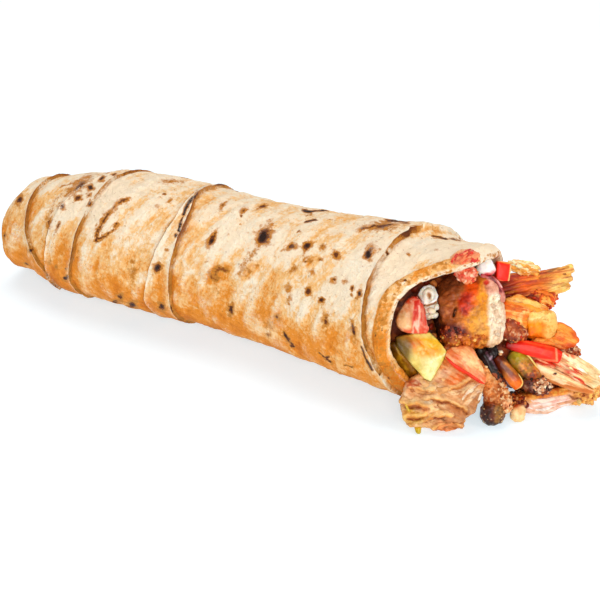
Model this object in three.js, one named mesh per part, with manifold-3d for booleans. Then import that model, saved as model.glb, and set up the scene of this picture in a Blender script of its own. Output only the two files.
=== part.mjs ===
// A rolled flatbread wrap that lies on its side, with filling spilling out of its open end.
// Millimetres, +Z up. The roll lies along X and its open end looks towards +X.
// Places are measured along the roll from the lowest point of the lip's near side (x = 0), across it
// from its middle plane (y = 0) and up from the surface it lies on (z = 0). The group at the end is
// shifted so that its origin is the middle of the underside of the whole wrap's box.

import * as THREE from "three";
import { mergeVertices } from "three/addons/utils/BufferGeometryUtils.js";
import Module from "manifold-3d";

const wasm = await Module();
wasm.setup();

// ---------------------------------------------------------------- driving dimensions

const GAP = 0.35; // clearance that is kept between two pieces that touch
const SAG = 1.0; // how far the roll has settled into its flat underside
const MOUTH_SETTLE = 4.8; // how far the mouth's far upper side has sunk past the outer layer's edge
const WALL = 4.4; // rolled bread wall: two layers and the air between them
const CORE_CLEARANCE = 0.9; // between the wall and the packed filling
const INNER_FLOOR = 2.8; // height of the bread's inside where it is pressed flat
const SURFACE_WAVE = 0.35; // unevenness of the bread between its layer edges
const BORE_END = { x: -186, narrow: 0.62, tip: -189 }; // where the roll closes up inside

// The roll from its closed end to its lip: place along X, outer radius, sideways drift of its middle.
const ROLL = [
  { x: -212, radius: 19.4, drift: -0.2 },
  { x: -206, radius: 21.9, drift: -0.2 },
  { x: -198, radius: 22.9, drift: -0.2 },
  { x: -186, radius: 26.6, drift: -0.2 },
  { x: -170, radius: 29.1, drift: 0.0 },
  { x: -150, radius: 31.0, drift: 1.0 },
  { x: -125, radius: 31.2, drift: 3.0 },
  { x: -100, radius: 30.8, drift: 4.7 },
  { x: -75, radius: 31.2, drift: 4.1 },
  { x: -50, radius: 32.8, drift: 2.1 },
  { x: -25, radius: 34.2, drift: 0.5 },
  { x: 5, radius: 36.3, drift: -0.7 },
  { x: 40, radius: 37.0, drift: -0.7 },
];

// The closed end is lifted a little off the surface, because the tucked end is thinner.
const LIFT = [
  { x: -212, lift: 2.9 },
  { x: -198, lift: 3.6 },
  { x: -186, lift: 0.2 },
  { x: -160, lift: 0 },
  { x: 40, lift: 0 },
];

const TUCKED_END = { x: -216.2, dimple: 3.2, swirl: 0.9, shoulder: 1.1 };

// Edges of the bread's layers that run round the roll. Each is a closed line: at an angle round
// the roll (degrees, 0 at the near side, 90 on top, 180 at the far side) it passes x.
const SEAM_STEP = 0.3; // half the width of the step at an edge
const END_CAP_EDGE = [[-30, -180], [15, -192], [50, -197], [90, -197], [150, -192], [240, -184]];
const BAND_START = [[-30, -181], [15, -178.5], [50, -175], [90, -165], [150, -159], [240, -172]];
const BAND_END = [[-30, -167], [15, -162], [50, -159.5], [90, -156.5], [150, -152], [240, -163]];
const FOLD_START = [[-30, -127], [15, -121], [50, -117], [90, -116.5], [150, -118], [240, -125]];
const FOLD_END = [[-30, -113], [15, -111.5], [50, -110.5], [90, -114], [150, -112], [240, -113]];
const OUTER_LAYER_EDGE = [[-30, -2.5], [5, -11.5], [40, -14], [80, -12], [120, -3], [180, 3], [250, 3]];
const LIP = [
  [-60, 10], [-30, 6], [-5, -0.5], [20, -1.5], [40, 1], [57, 9], [72, 19], [90, 24], [110, 24], [135, 21],
  [180, 17], [240, 12],
];
const LIP_SHAPE = [[-3.4, -0.2], [-1.2, -1.3], [0, -3.1], [-0.8, -4.7], [-3, -5.2]]; // along X and inwards
const LIP_ROLL = 4.5; // how far behind the lip it starts to curl in

const CAP_LAYER = 1.3;
const BAND_LAYER = 1.1;
const FOLD_CREST = 1.5;
const OUTER_LAYER = 1.9;
const ROUND_STEPS = 42; // facets round the bread
const CORE_STEPS = 18; // facets round the packed filling

// ---------------------------------------------------------------- small tools

const RAD = Math.PI / 180;

// Smooth curve through [t, value] knots; a period makes it run round without a join.
function curve(knots, t, period = 0) {
  const n = knots.length;
  const knot = (i) => {
    if (!period) return knots[Math.min(Math.max(i, 0), n - 1)];
    const lap = Math.floor(i / n);
    const [at, value] = knots[i - lap * n];
    return [at + lap * period, value];
  };
  if (period) t = knots[0][0] + ((((t - knots[0][0]) % period) + period) % period);
  let i = 0;
  while (i < n - (period ? 1 : 2) && t > knot(i + 1)[0]) i++;
  const slope = (k) => {
    const [t0, v0] = knot(k - 1);
    const [t1, v1] = knot(k + 1);
    return t1 > t0 ? (v1 - v0) / (t1 - t0) : 0;
  };
  const [ta, va] = knot(i);
  const [tb, vb] = knot(i + 1);
  const span = tb - ta || 1;
  const s = Math.min(Math.max((t - ta) / span, 0), 1);
  const [s2, s3] = [s * s, s * s * s];
  return (
    va * (2 * s3 - 3 * s2 + 1) +
    vb * (3 * s2 - 2 * s3) +
    span * (slope(i) * (s3 - 2 * s2 + s) + slope(i + 1) * (s3 - s2))
  );
}

const round = (knots) => (angle) => curve(knots, angle, 360);
const lengthwise = (rows, key) => {
  const knots = rows.map((row) => [row.x, row[key]]);
  return (x) => curve(knots, Math.min(Math.max(x, knots[0][0]), knots[knots.length - 1][0]));
};

// Smooth unevenness between -1 and 1, the same for the same seed.
function uneven(x, y, z, seed) {
  const a = Math.sin(1.7 * x + 2.3 * seed) * Math.cos(1.3 * y - 1.1 * seed);
  const b = Math.sin(2.1 * y + 0.9 * z + 4.1 * seed) * Math.cos(1.9 * z - 1.6 * x);
  const c = Math.sin(3.3 * x - 2.7 * y + 2.9 * z + 5.7 * seed);
  return 0.45 * a + 0.35 * b + 0.2 * c;
}

function solidOf(geometry) {
  const bare = new THREE.BufferGeometry();
  const flat = geometry.index ? geometry.toNonIndexed() : geometry;
  bare.setAttribute("position", flat.getAttribute("position"));
  const merged = mergeVertices(bare, 1e-4);
  return new wasm.Manifold(
    new wasm.Mesh({
      numProp: 3,
      vertProperties: new Float32Array(merged.attributes.position.array),
      triVerts: new Uint32Array(merged.index.array),
    }),
  );
}

function geometryOf(solid) {
  const mesh = solid.getMesh();
  const places = new Float32Array(mesh.numVert * 3);
  for (let i = 0; i < mesh.numVert; i++) {
    places.set(mesh.vertProperties.subarray(i * mesh.numProp, i * mesh.numProp + 3), i * 3);
  }
  const geometry = new THREE.BufferGeometry();
  geometry.setAttribute("position", new THREE.BufferAttribute(places, 3));
  geometry.setIndex(new THREE.BufferAttribute(new Uint32Array(mesh.triVerts), 1));
  return geometry;
}

const joined = (solids) => solids.reduce((sum, solid) => sum.add(solid));
const largest = (solid) => solid.decompose().reduce((a, b) => (b.volume() > a.volume() ? b : a));

// A closed skin from rings of points, each ring joined to the next, with a fan at each end.
function skin(rings, firstTip, lastTip) {
  const count = rings[0].length;
  const points = [firstTip, ...rings.flat(), lastTip];
  const faces = [];
  const at = (ring, i) => 1 + ring * count + (i % count);
  for (let i = 0; i < count; i++) {
    faces.push(0, at(0, i), at(0, i + 1));
    faces.push(points.length - 1, at(rings.length - 1, i + 1), at(rings.length - 1, i));
    for (let ring = 0; ring < rings.length - 1; ring++) {
      faces.push(at(ring, i), at(ring + 1, i), at(ring + 1, i + 1));
      faces.push(at(ring, i), at(ring + 1, i + 1), at(ring, i + 1));
    }
  }
  const geometry = new THREE.BufferGeometry();
  geometry.setAttribute("position", new THREE.Float32BufferAttribute(points.flat(), 3));
  geometry.setIndex(faces);
  const solid = solidOf(geometry);
  if (solid.volume() > 0) return solid;
  for (let i = 0; i < faces.length; i += 3) [faces[i + 1], faces[i + 2]] = [faces[i + 2], faces[i + 1]];
  geometry.setIndex(faces);
  return solidOf(geometry);
}

// ---------------------------------------------------------------- the rolled bread

const radiusAt = lengthwise(ROLL, "radius");
const driftAt = lengthwise(ROLL, "drift");
const liftAt = lengthwise(LIFT, "lift");
const middleAt = (x) => [driftAt(x), radiusAt(x) - SAG + liftAt(x)];

// Layer edges show on the near side and on top, and close up underneath.
const showing = (angle) => 0.62 + 0.38 * Math.cos((angle - 45) * RAD);

function layerRelief(x, angle) {
  const cap = round(END_CAP_EDGE)(angle);
  const fold = [round(FOLD_START)(angle), round(FOLD_END)(angle)];
  const outer = round(OUTER_LAYER_EDGE)(angle);
  let relief = 0;
  if (x < cap) relief += CAP_LAYER * Math.exp((x - cap) / 9);
  if (x > round(BAND_START)(angle) && x < round(BAND_END)(angle)) relief += BAND_LAYER;
  const across = (x - fold[0]) / (fold[1] - fold[0]);
  if (across > 0 && across < 1) relief += FOLD_CREST * (0.35 + 0.65 * across);
  if (x < outer && x > fold[1]) relief += OUTER_LAYER * Math.exp((x - outer) / 22);
  const wave = uneven(x / 14, Math.cos(angle * RAD) * 2, Math.sin(angle * RAD) * 2, 3);
  return relief * showing(angle) + SURFACE_WAVE * wave;
}

// A point on a tube round the roll's middle line, pressed flat where it would go below the floor.
function roundRoll(x, angle, radius) {
  const [y, z] = middleAt(x);
  const rise = Math.sin(angle * RAD);
  const open = Math.min(Math.max((x - round(OUTER_LAYER_EDGE)(angle) + 2) / 6, 0), 1);
  const far = Math.max(Math.sin((angle - 34) * RAD), 0) ** 1.5;
  const settle = MOUTH_SETTLE * open * far;
  return [x, y - radius * Math.cos(angle * RAD), Math.max(z + radius * rise - settle, 0)];
}

// Places along the roll where rings of the bread's outside lie, following the layer edges.
function outsideStations(angle) {
  const seam = (knots) => round(knots)(angle);
  const between = (from, to, count) =>
    Array.from({ length: count }, (_, i) => from + ((to - from) * (i + 1)) / (count + 1));
  const edge = (x) => [x - SEAM_STEP, x + SEAM_STEP];
  const cap = seam(END_CAP_EDGE);
  const band = [seam(BAND_START), seam(BAND_END)];
  const fold = [seam(FOLD_START), seam(FOLD_END)];
  const outer = seam(OUTER_LAYER_EDGE);
  const lip = seam(LIP);
  return [
    ROLL[0].x,
    ...between(ROLL[0].x, cap, 1),
    ...edge(cap),
    ...between(cap, band[0], 1),
    ...edge(band[0]),
    ...between(band[0], band[1], 1),
    ...edge(band[1]),
    ...between(band[1], fold[0], 4),
    ...edge(fold[0]),
    ...edge(fold[1]),
    ...between(fold[1], outer, 6),
    ...edge(outer),
    ...between(outer, lip - LIP_ROLL, 2),
  ];
}

function breadSolid(grow) {
  const angles = Array.from({ length: ROUND_STEPS }, (_, i) => (360 * i) / ROUND_STEPS - 90);
  const ring = (make) => angles.map((angle) => make(angle));
  const rings = [];
  for (const part of [0.3, 0.62, 0.88]) {
    rings.push(
      ring((angle) => {
        const swirl = TUCKED_END.swirl * Math.sin((angle + 300 * part) * RAD);
        const shoulder = part > 0.8 ? TUCKED_END.shoulder : 0;
        const x = TUCKED_END.x + TUCKED_END.dimple * (1 - part) - swirl * part + shoulder;
        return roundRoll(x - grow, angle, radiusAt(ROLL[0].x) * part);
      }),
    );
  }
  const stationCount = outsideStations(0).length;
  for (let i = 0; i < stationCount; i++) {
    rings.push(
      ring((angle) => {
        const x = outsideStations(angle)[i];
        return roundRoll(x, angle, radiusAt(x) + layerRelief(x, angle) + grow);
      }),
    );
  }
  for (const [back, inwards] of LIP_SHAPE) {
    rings.push(
      ring((angle) => {
        const x = round(LIP)(angle) + back + grow;
        return roundRoll(x, angle, radiusAt(x) + inwards - (inwards < -3 ? grow : -grow));
      }),
    );
  }
  for (const x of [-14, -60, -110, -150, -178]) {
    rings.push(
      ring((angle) => {
        const [px, py, pz] = roundRoll(x, angle, radiusAt(x) - WALL - grow);
        return [px, py, Math.max(pz, INNER_FLOOR)];
      }),
    );
  }
  const closing = radiusAt(BORE_END.x) * BORE_END.narrow;
  rings.push(ring((angle) => roundRoll(BORE_END.x + grow, angle, closing)));
  const outerTip = [TUCKED_END.x + TUCKED_END.dimple - grow, ...middleAt(ROLL[0].x)];
  return skin(rings, outerTip, [BORE_END.tip, ...middleAt(BORE_END.tip)]);
}

// ---------------------------------------------------------------- the packed filling inside

const CORE_START = { x: -182, narrow: 0.7, tip: -185 };
const CORE_STATIONS = [-172, -150, -120, -90, -60, -35, -20];
const CORE_FLOOR = 3.5; // height of its underside inside the bread

// Beyond the lip the packed filling is a tapering heap: place, radius, sideways and upward middle.
const HEAP_FLOOR = 1.5;
const HEAP = [
  { x: -8, radius: 26, y: 1, z: 33 },
  { x: 8, radius: 20, y: 4, z: 30 },
  { x: 20, radius: 16, y: 7, z: 26 },
  { x: 32, radius: 12.5, y: 9, z: 19 },
  { x: 44, radius: 10.5, y: 11, z: 15 },
  { x: 54, radius: 7, y: 14, z: 13 },
];

function coreSolid() {
  const angles = Array.from({ length: CORE_STEPS }, (_, i) => (360 * i) / CORE_STEPS - 90);
  const rings = [];
  for (const x of [CORE_START.x, ...CORE_STATIONS]) {
    const radius = (radiusAt(x) - WALL - CORE_CLEARANCE) * (x === CORE_START.x ? CORE_START.narrow : 1);
    rings.push(
      angles.map((angle) => {
        const [px, py, pz] = roundRoll(x, angle, radius);
        return [px, py, Math.max(pz, CORE_FLOOR)];
      }),
    );
  }
  for (const { x, radius, y, z } of HEAP) {
    rings.push(
      angles.map((angle) => {
        const [c, s] = [Math.cos(angle * RAD), Math.sin(angle * RAD)];
        const lumpy = radius * (1 + 0.07 * uneven(x / 9, 3 * c, 3 * s, 8));
        const along = x + 1.5 * uneven(c * 2, s * 2, x / 10, 5);
        return [along, y - lumpy * c, Math.max(z + lumpy * s, HEAP_FLOOR)];
      }),
    );
  }
  const tip = HEAP[HEAP.length - 1];
  return skin(rings, [CORE_START.tip, ...middleAt(CORE_START.tip)], [tip.x + 3, tip.y + 1, tip.z]);
}

// ---------------------------------------------------------------- shapes of filling pieces
// Each is made in its own frame: x along it, y across it and z out of its shown face, which lies at
// z = 0. "grow" is how much larger it is made on every side, to clear a place for it.

// A chunk with rounded corners: squareness 2 is a ball, 6 nearly a block. taper narrows its top.
function chunk({ size, square = 3, rough = 0.07, seed = 1, detail = 1, taper = 0 }, grow) {
  const geometry = new THREE.IcosahedronGeometry(1, detail);
  const place = geometry.getAttribute("position");
  const half = size.map((s) => s / 2 + grow);
  const v = new THREE.Vector3();
  for (let i = 0; i < place.count; i++) {
    v.fromBufferAttribute(place, i).normalize();
    const reach = [v.x, v.y, v.z].reduce((sum, part) => sum + Math.abs(part) ** square, 0) ** (1 / square);
    const swell = (1 + rough * uneven(2.2 * v.x, 2.2 * v.y, 2.2 * v.z, seed)) / reach;
    const y = v.y * swell * half[1];
    const narrow = 1 - (taper * y) / size[1];
    place.setXYZ(i, v.x * swell * half[0] * narrow, y, v.z * swell * half[2] - size[2] / 2);
  }
  return solidOf(geometry);
}

// A cut slice: a rounded outline with a domed shown face, a flat back and a given thickness.
function slice({ outline, thick, dome = 0.8, corner = 0.35, steps = 18, wave = 0, seed = 1 }, grow) {
  const loop = new THREE.CatmullRomCurve3(
    outline.map(([x, y]) => new THREE.Vector3(x, y, 0)),
    true,
    "catmullrom",
    corner,
  ).getSpacedPoints(steps);
  loop.pop();
  const middle = loop.reduce((sum, p) => sum.add(p), new THREE.Vector3()).divideScalar(loop.length);
  const reach = loop.reduce((sum, p) => sum + p.distanceTo(middle), 0) / loop.length;
  const stretch = 1 + grow / reach;
  const lift = (x, y) => wave * uneven(x / 5, y / 5, 0, seed);
  const ringAt = (scale, z) =>
    loop.map((p) => {
      const x = middle.x + (p.x - middle.x) * scale * stretch;
      const y = middle.y + (p.y - middle.y) * scale * stretch;
      return [x, y, z + lift(x, y)];
    });
  const rings = [
    ringAt(0.86, -thick - grow),
    ringAt(1, -thick * 0.6),
    ringAt(0.96, -dome - 0.1 + grow),
    ringAt(0.6, -dome * 0.25 + grow),
  ];
  const level = lift(middle.x, middle.y);
  return skin(rings, [middle.x, middle.y, -thick - grow + level], [middle.x, middle.y, grow + level]);
}

// A strip swept along a smooth path, with its own width and thickness at each end and between.
function strip({ path, width, thick, sides = 8, steps = 8 }, grow) {
  const face = new THREE.Vector3(0, 0, 1);
  const route = new THREE.CatmullRomCurve3(path.map((p) => new THREE.Vector3(...p)));
  const level = (values, t) => {
    if (typeof values === "number") return values;
    return curve(values.map((v, i) => [i / (values.length - 1), v]), t);
  };
  const rings = [];
  const tips = [];
  for (let i = 0; i <= steps; i++) {
    const t = i / steps;
    const middle = route.getPointAt(t);
    const forward = route.getTangentAt(t);
    const across = face.clone().cross(forward).normalize();
    const out = forward.clone().cross(across);
    const end = i === 0 ? -1 : i === steps ? 1 : 0;
    const shrink = end ? 0.78 : 1;
    middle.addScaledVector(forward, end * grow);
    if (end) tips.push(middle.clone().addScaledVector(forward, end * 0.3).toArray());
    const [w, h] = [level(width, t) / 2 + grow, level(thick, t) / 2 + grow];
    rings.push(
      Array.from({ length: sides }, (_, k) => {
        const angle = ((k + 0.5) / sides) * 2 * Math.PI;
        const [c, s] = [Math.cos(angle), Math.sin(angle)];
        const boxy = shrink / (Math.abs(c) ** 4 + Math.abs(s) ** 4) ** 0.25;
        return middle
          .clone()
          .addScaledVector(across, w * c * boxy)
          .addScaledVector(out, h * s * boxy)
          .toArray();
      }),
    );
  }
  return skin(rings, tips[0], tips[1]);
}

// Several thin strips that lie together and are fused.
const bundle = ({ strands, steps = 4 }, grow) =>
  joined(strands.map((strand) => strip({ ...strand, steps, sides: 6 }, grow)));

// A heap of small lumps fused round a middle one. Their places follow a spiral over its face.
function crumbs({ size: whole, count, grain, seed, middle = 0.8 }, grow) {
  const core = chunk({ size: whole.map((s) => s * middle), square: 2.4, rough: 0.15, seed }, grow);
  const grains = Array.from({ length: count }, (_, i) => {
    const angle = i * 2.4 + seed;
    const out = Math.sqrt((i + 0.5) / count);
    const side = grain * (0.8 + 0.4 * Math.abs(uneven(i, seed, 0, 2)));
    const place = [
      0.5 * (whole[0] - side) * out * Math.cos(angle),
      0.5 * (whole[1] - side) * out * Math.sin(angle),
      whole[2] * (0.06 - 0.42 * out * out),
    ];
    const size = [side, side * 0.85, side];
    return chunk({ size, square: 2.6, rough: 0.2, seed: i + seed, detail: 0 }, grow).translate(place);
  });
  return largest(joined([core, ...grains]));
}

// ---------------------------------------------------------------- colours

const paint = (color, roughness = 0.6) => new THREE.MeshStandardMaterial({ color, roughness, metalness: 0 });
const BREAD = paint("#e8bd86", 0.8);
const SAUCED = paint("#8a4a24", 0.5);
const SEARED = paint("#b4692f", 0.5);
const ROAST = paint("#dca676", 0.55);
const RED_PEPPER = paint("#e8401c", 0.3);
const CREAM = paint("#f4ece0", 0.4);
const PINK_SAUCE = paint("#d9605a", 0.45);
const ONION = paint("#6e2430", 0.4);
const PINK_FLESH = paint("#e7a58f", 0.4);
const CUCUMBER = paint("#dcd07a", 0.4);
const TOMATO = paint("#e9a77c", 0.4);
const GREEN = paint("#b5b04a", 0.4);
const CRUMB = paint("#a5683e", 0.7);
const DARK_SKIN = paint("#2b1a20", 0.3);
const CARROT = paint("#e8801e", 0.4);
const PALE_STRIP = paint("#e9cfa0", 0.5);
const YELLOW = paint("#e2b13c", 0.4);
const ORANGE = paint("#df8a2c", 0.45);

// ---------------------------------------------------------------- the filling, piece by piece
// at: middle of the shown face. face: where that face looks, as degrees round from the near side
// towards the open end, and degrees up. spin: degrees anticlockwise, looked at from outside.
// Earlier pieces keep their whole shape, and later ones give way to them.

const FRONT = [30, 29];

const PIECES = [
  {
    name: "seared_chunk", paint: SEARED, at: [22.5, -10, 46], face: FRONT, spin: 8,
    shape: (grow) =>
      chunk({ size: [28, 30, 23], square: 3.1, rough: 0.1, seed: 4, detail: 3, taper: 0.22 }, grow),
  },
  {
    name: "cucumber_wedge", paint: CUCUMBER, at: [10.3, -27.3, 30.6], face: FRONT, spin: 0,
    shape: (grow) =>
      slice({
        outline: [
          [-10.7, 7.4], [2.9, 9.9], [10.3, 1.6], [8.6, -2.5], [3.3, -11.1], [-1.2, -6.6], [-9.5, 2.5],
        ],
        thick: 7.5, corner: 0.2,
      }, grow),
  },
  {
    name: "pink_wedge", paint: PINK_FLESH, at: [4, -24.5, 46.2], face: FRONT, spin: 0,
    shape: (grow) =>
      slice({
        outline: [[-6.6, -2], [-3.6, 4], [-0.4, 7.8], [3.3, 6.2], [6.6, -6.6], [0, -7.6], [-5, -5.8]],
        thick: 6.5, dome: 1.4,
      }, grow),
  },
  {
    name: "tomato_slice", paint: TOMATO, at: [26.4, -19.6, 27], face: [32, 34], spin: 0,
    shape: (grow) =>
      slice({
        outline: [[-9, 3.7], [-6.6, 7], [1.6, 8.2], [6.6, 0.4], [8.2, -7.6], [0, -2.7]],
        thick: 4, corner: 0.25, dome: 0.5,
      }, grow),
  },
  {
    name: "flaky_folds", paint: ROAST, at: [18, -32.6, 9.3], face: [30, 20], spin: 0,
    shape: (grow) =>
      slice({
        outline: [
          [-11.1, 7], [-1.2, 4.9], [9, 0.8], [14.4, -3.3], [12.3, -7], [6.2, -8.6], [-2, -7], [-8.6, -7],
          [-11.9, -0.8],
        ],
        thick: 9, wave: 1.6, seed: 6, steps: 18, dome: 1.6,
      }, grow),
  },
  {
    name: "roast_slice", paint: ROAST, at: [21.2, -25.2, 18.2], face: [31, 33], spin: 0,
    shape: (grow) =>
      slice({
        outline: [
          [-4.5, 14.8], [2.9, 17.7], [9.1, 17.7], [14.8, 6.6], [14.8, -1.6], [12.8, -8.2],
          [7.4, -13.2], [0.8, -14.8], [-7.4, -9.9], [-16.5, -5.8], [-17.7, 0], [-11.5, 5.3],
        ],
        thick: 8, wave: 0.9, seed: 2, steps: 18, dome: 1,
      }, grow),
  },
  {
    name: "red_pepper_strip", paint: RED_PEPPER, at: [46.2, 4, 27.4], face: FRONT, spin: 0,
    shape: (grow) =>
      strip({ path: [[-11.5, 2.6, -2], [-4, 1.6, -1.5], [4, -0.4, -1.5], [10.6, -2.6, -2]],
        width: [3.4, 5.6, 6.4, 6.2], thick: 3, steps: 6 }, grow),
  },
  {
    name: "green_pepper_piece", paint: GREEN, at: [42.3, -1.4, 22.5], face: FRONT, spin: 0,
    shape: (grow) =>
      slice({
        outline: [
          [-5, 3.3], [-2.9, 5.7], [0.3, 6], [3.6, 4.3], [6.2, 0.4], [8.8, -4.2], [7.6, -7.2], [4.2, -6.8],
          [-0.1, -3.8], [-3.7, -0.4],
        ],
        thick: 5, dome: 1.6, steps: 16,
      }, grow),
  },
  {
    name: "carrot_strip", paint: CARROT, at: [38.8, -5.2, 20.9], face: FRONT, spin: 0,
    shape: (grow) =>
      strip({ path: [[-4.6, 5.2, -2.2], [-1.4, 1.6, -2], [4.6, -6.8, -2.2]], width: [4.4, 5.2, 5.4],
        thick: 4, steps: 5 }, grow),
  },
  {
    name: "aubergine_strips", paint: DARK_SKIN, at: [33.2, -8.4, 24.6], face: FRONT, spin: 0,
    shape: (grow) =>
      bundle({
        strands: [
          { path: [[-5.4, 6.4, -3], [-2.2, 0.6, -2.4], [2.6, -8.4, -3]], width: 4.2, thick: 3.4 },
          { path: [[-0.6, 7, -4.6], [1.2, 1.6, -4.4], [4.2, -6, -5]], width: 4.6, thick: 3.6 },
        ],
      }, grow),
  },
  {
    name: "crumbed_strip", paint: CRUMB, at: [37.4, -12.6, 14.6], face: [34, 24], spin: 0,
    shape: (grow) =>
      strip({ path: [[-6.6, 12.4, -4], [-4, 5.6, -3.4], [0.2, -1.6, -3.6], [3.6, -9.4, -4.6]],
        width: [3.4, 6.6, 10.4, 9], thick: [4, 6.4, 7.4, 6.6], steps: 7 }, grow),
  },
  {
    name: "mushroom_end", paint: DARK_SKIN, at: [38.8, -17, 6.6], face: [30, 20], spin: -10,
    shape: (grow) => chunk({ size: [9.6, 11.2, 9.5], square: 2.6, rough: 0.1, seed: 9 }, grow),
  },
  {
    name: "crusted_slice", paint: ROAST, at: [56.4, 4.4, 8.2], face: [32, 22], spin: 4,
    shape: (grow) =>
      slice({
        outline: [
          [-19, -2.6], [-17.6, 1.2], [-6.6, 2.4], [2.5, 3.4], [12, 4], [18, 5], [19.6, 0.6],
          [16.4, -3.4], [7.8, -4], [-4.5, -6.4], [-12.8, -5.6],
        ],
        thick: 15, steps: 22, wave: 0.7, seed: 3, dome: 1.2,
      }, grow),
  },
  {
    name: "small_pale_block", paint: CREAM, at: [46, -8.4, 3.7], face: [30, 20], spin: -6,
    shape: (grow) => chunk({ size: [5.4, 6.6, 5.4], square: 4, rough: 0.08, seed: 5 }, grow),
  },
  {
    name: "long_pale_strip", paint: PALE_STRIP, at: [57.4, 5.6, 17], face: FRONT, spin: 0,
    shape: (grow) =>
      strip({ path: [[-13, 6.6, -3], [-4.8, 2.4, -1.6], [4, -2.4, -1.4], [13.4, -5.6, -2]],
        width: [4.4, 5.2, 4, 1.6], thick: [3, 3, 2.4, 1.4], steps: 7 }, grow),
  },
  {
    name: "cream_strip_fan", paint: PALE_STRIP, at: [62.4, 10.4, 21.6], face: FRONT, spin: 0,
    shape: (grow) =>
      bundle({
        strands: [
          { path: [[-9, 5, -2.4], [0, 2.4, -1.4], [9, -3.2, -1.8]], width: 3, thick: 1.8 },
          { path: [[-9, 3, -2.8], [0, 0, -1.8], [9.6, -6.4, -2.2]], width: 3, thick: 1.8 },
          { path: [[-9, 1, -3], [-1, -2.4, -2.2], [7.6, -8, -2.4]], width: 3, thick: 1.8 },
          { path: [[-9, 2.6, -4], [-2, 0, -4], [5, -5, -4]], width: 6.4, thick: 3 },
        ],
      }, grow),
  },
  {
    name: "soaked_shreds", paint: SAUCED, at: [51.6, 3.6, 21.6], face: FRONT, spin: 0,
    shape: (grow) =>
      bundle({
        strands: [
          { path: [[-6.2, 3, -3.4], [0, 0.8, -2.6], [6.6, -2.4, -3]], width: 3.2, thick: 2.4 },
          { path: [[-6, 1, -4.4], [0, -1, -3.8], [6, -4.4, -4]], width: 3.4, thick: 2.6 },
        ],
      }, grow),
  },
  {
    name: "minced_cluster", paint: SAUCED, at: [50, -1.2, 15.4], face: FRONT, spin: -14,
    shape: (grow) => crumbs({ size: [14.5, 9.4, 8], count: 6, grain: 3.6, seed: 3 }, grow),
  },
  {
    name: "yellow_chunk", paint: YELLOW, at: [46.3, 9.7, 37.6], face: [34, 30], spin: 0,
    shape: (grow) => chunk({ size: [13.4, 11.6, 11], square: 3.6, rough: 0.12, seed: 12, detail: 2 }, grow),
  },
  {
    name: "orange_wedge", paint: ORANGE, at: [52.6, 13, 31.4], face: [34, 32], spin: 0,
    shape: (grow) =>
      slice({
        outline: [
          [-12.6, -3.4], [-8, 0.8], [-2.3, 4.6], [1.1, 6.4], [4.7, 4.2], [8.6, -0.6], [5.6, -4.4], [-3, -5],
        ],
        thick: 7, steps: 18,
      }, grow),
  },
  {
    name: "pointed_slice", paint: ROAST, at: [40, 11, 42.6], face: [30, 34], spin: 0,
    shape: (grow) =>
      slice({
        outline: [
          [-11.6, 1.8], [-8.3, 4.6], [-4.6, 5.2], [0.7, 3.2], [6.3, 0.7], [10.4, -4], [5, -6.4],
          [-1.5, -8.8], [-7.4, -9.2], [-11.4, -5],
        ],
        thick: 7, steps: 20,
      }, grow),
  },
  {
    name: "pulled_bundle", paint: ORANGE, at: [40, 20.6, 49.2], face: [32, 20], spin: 7,
    shape: (grow) =>
      bundle({
        strands: [
          { path: [[-17, 3.4, -4.6], [-9, 3.2, -4], [0, 2.8, -3.4], [9, 3.6, -3]], width: 4, thick: 3.4 },
          { path: [[-22, -0.5, -4], [-8, 0.6, -2.6], [3, 1.6, -2], [14, 4.4, -2]], width: 4, thick: 3.4 },
          { path: [[-22, -2, -5], [-8, -2.4, -3], [3, -1.4, -2], [13, 1, -2]], width: 4.4, thick: 3.6 },
          { path: [[-20, -4, -6], [-8, -5, -4], [3, -4.4, -3], [12, -2.6, -3]], width: 4, thick: 3.6 },
          { path: [[-20, 0, -8], [-8, -1, -7], [2, -1, -6], [10, 1, -6]], width: 7, thick: 5 },
        ],
        steps: 3,
      }, grow),
  },
  {
    name: "crisp_mass", paint: ORANGE, at: [42.9, 18.2, 43.8], face: [40, 25], spin: 0,
    shape: (grow) => crumbs({ size: [16, 10.5, 10], count: 6, grain: 4, seed: 7 }, grow),
  },
  {
    name: "yellow_rag", paint: YELLOW, at: [33, 21.2, 53.7], face: [30, 45], spin: -6,
    shape: (grow) =>
      strip({ path: [[-8, 1.8, -1.4], [-1, 1.2, -1], [6.6, -2, -1.4]], width: [5.4, 7.2, 6], thick: 2.6,
        steps: 5 }, grow),
  },
  {
    name: "red_pepper_cube", paint: RED_PEPPER, at: [28.6, 8, 57.6], face: [36, 24], spin: -8,
    shape: (grow) =>
      slice({ outline: [[-3, 4], [3, 3.8], [2.8, -3.8], [-2.8, -3.9]], thick: 6, corner: 0.05, steps: 12,
        dome: 0.3 }, grow),
  },
  {
    name: "cream_dollop", paint: CREAM, at: [23.4, 2.6, 60.2], face: FRONT, spin: 20,
    shape: (grow) => chunk({ size: [7.4, 7, 6], square: 2.2, rough: 0.12, seed: 15 }, grow),
  },
  {
    name: "onion_sliver", paint: ONION, at: [28, 3.2, 52.4], face: [60, 30], spin: 0,
    shape: (grow) =>
      strip({ path: [[-5, 7, -1], [-0.4, 3, -0.6], [1.6, -1.6, -0.6], [1.6, -6.6, -1]],
        width: 3.4, thick: 1.7, steps: 6 }, grow),
  },
  {
    name: "pink_sauce_lobe", paint: PINK_SAUCE, at: [19.4, -9.2, 62.2], face: FRONT, spin: -25,
    shape: (grow) => chunk({ size: [9.4, 7, 5.4], square: 2.3, rough: 0.16, seed: 2 }, grow),
  },
  {
    name: "pink_shreds", paint: PINK_SAUCE, at: [18.5, -9.2, 70.6], face: [10, 68], spin: 24,
    shape: (grow) => chunk({ size: [13, 8.4, 3.4], square: 2.4, rough: 0.14, seed: 21 }, grow),
  },
  {
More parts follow.
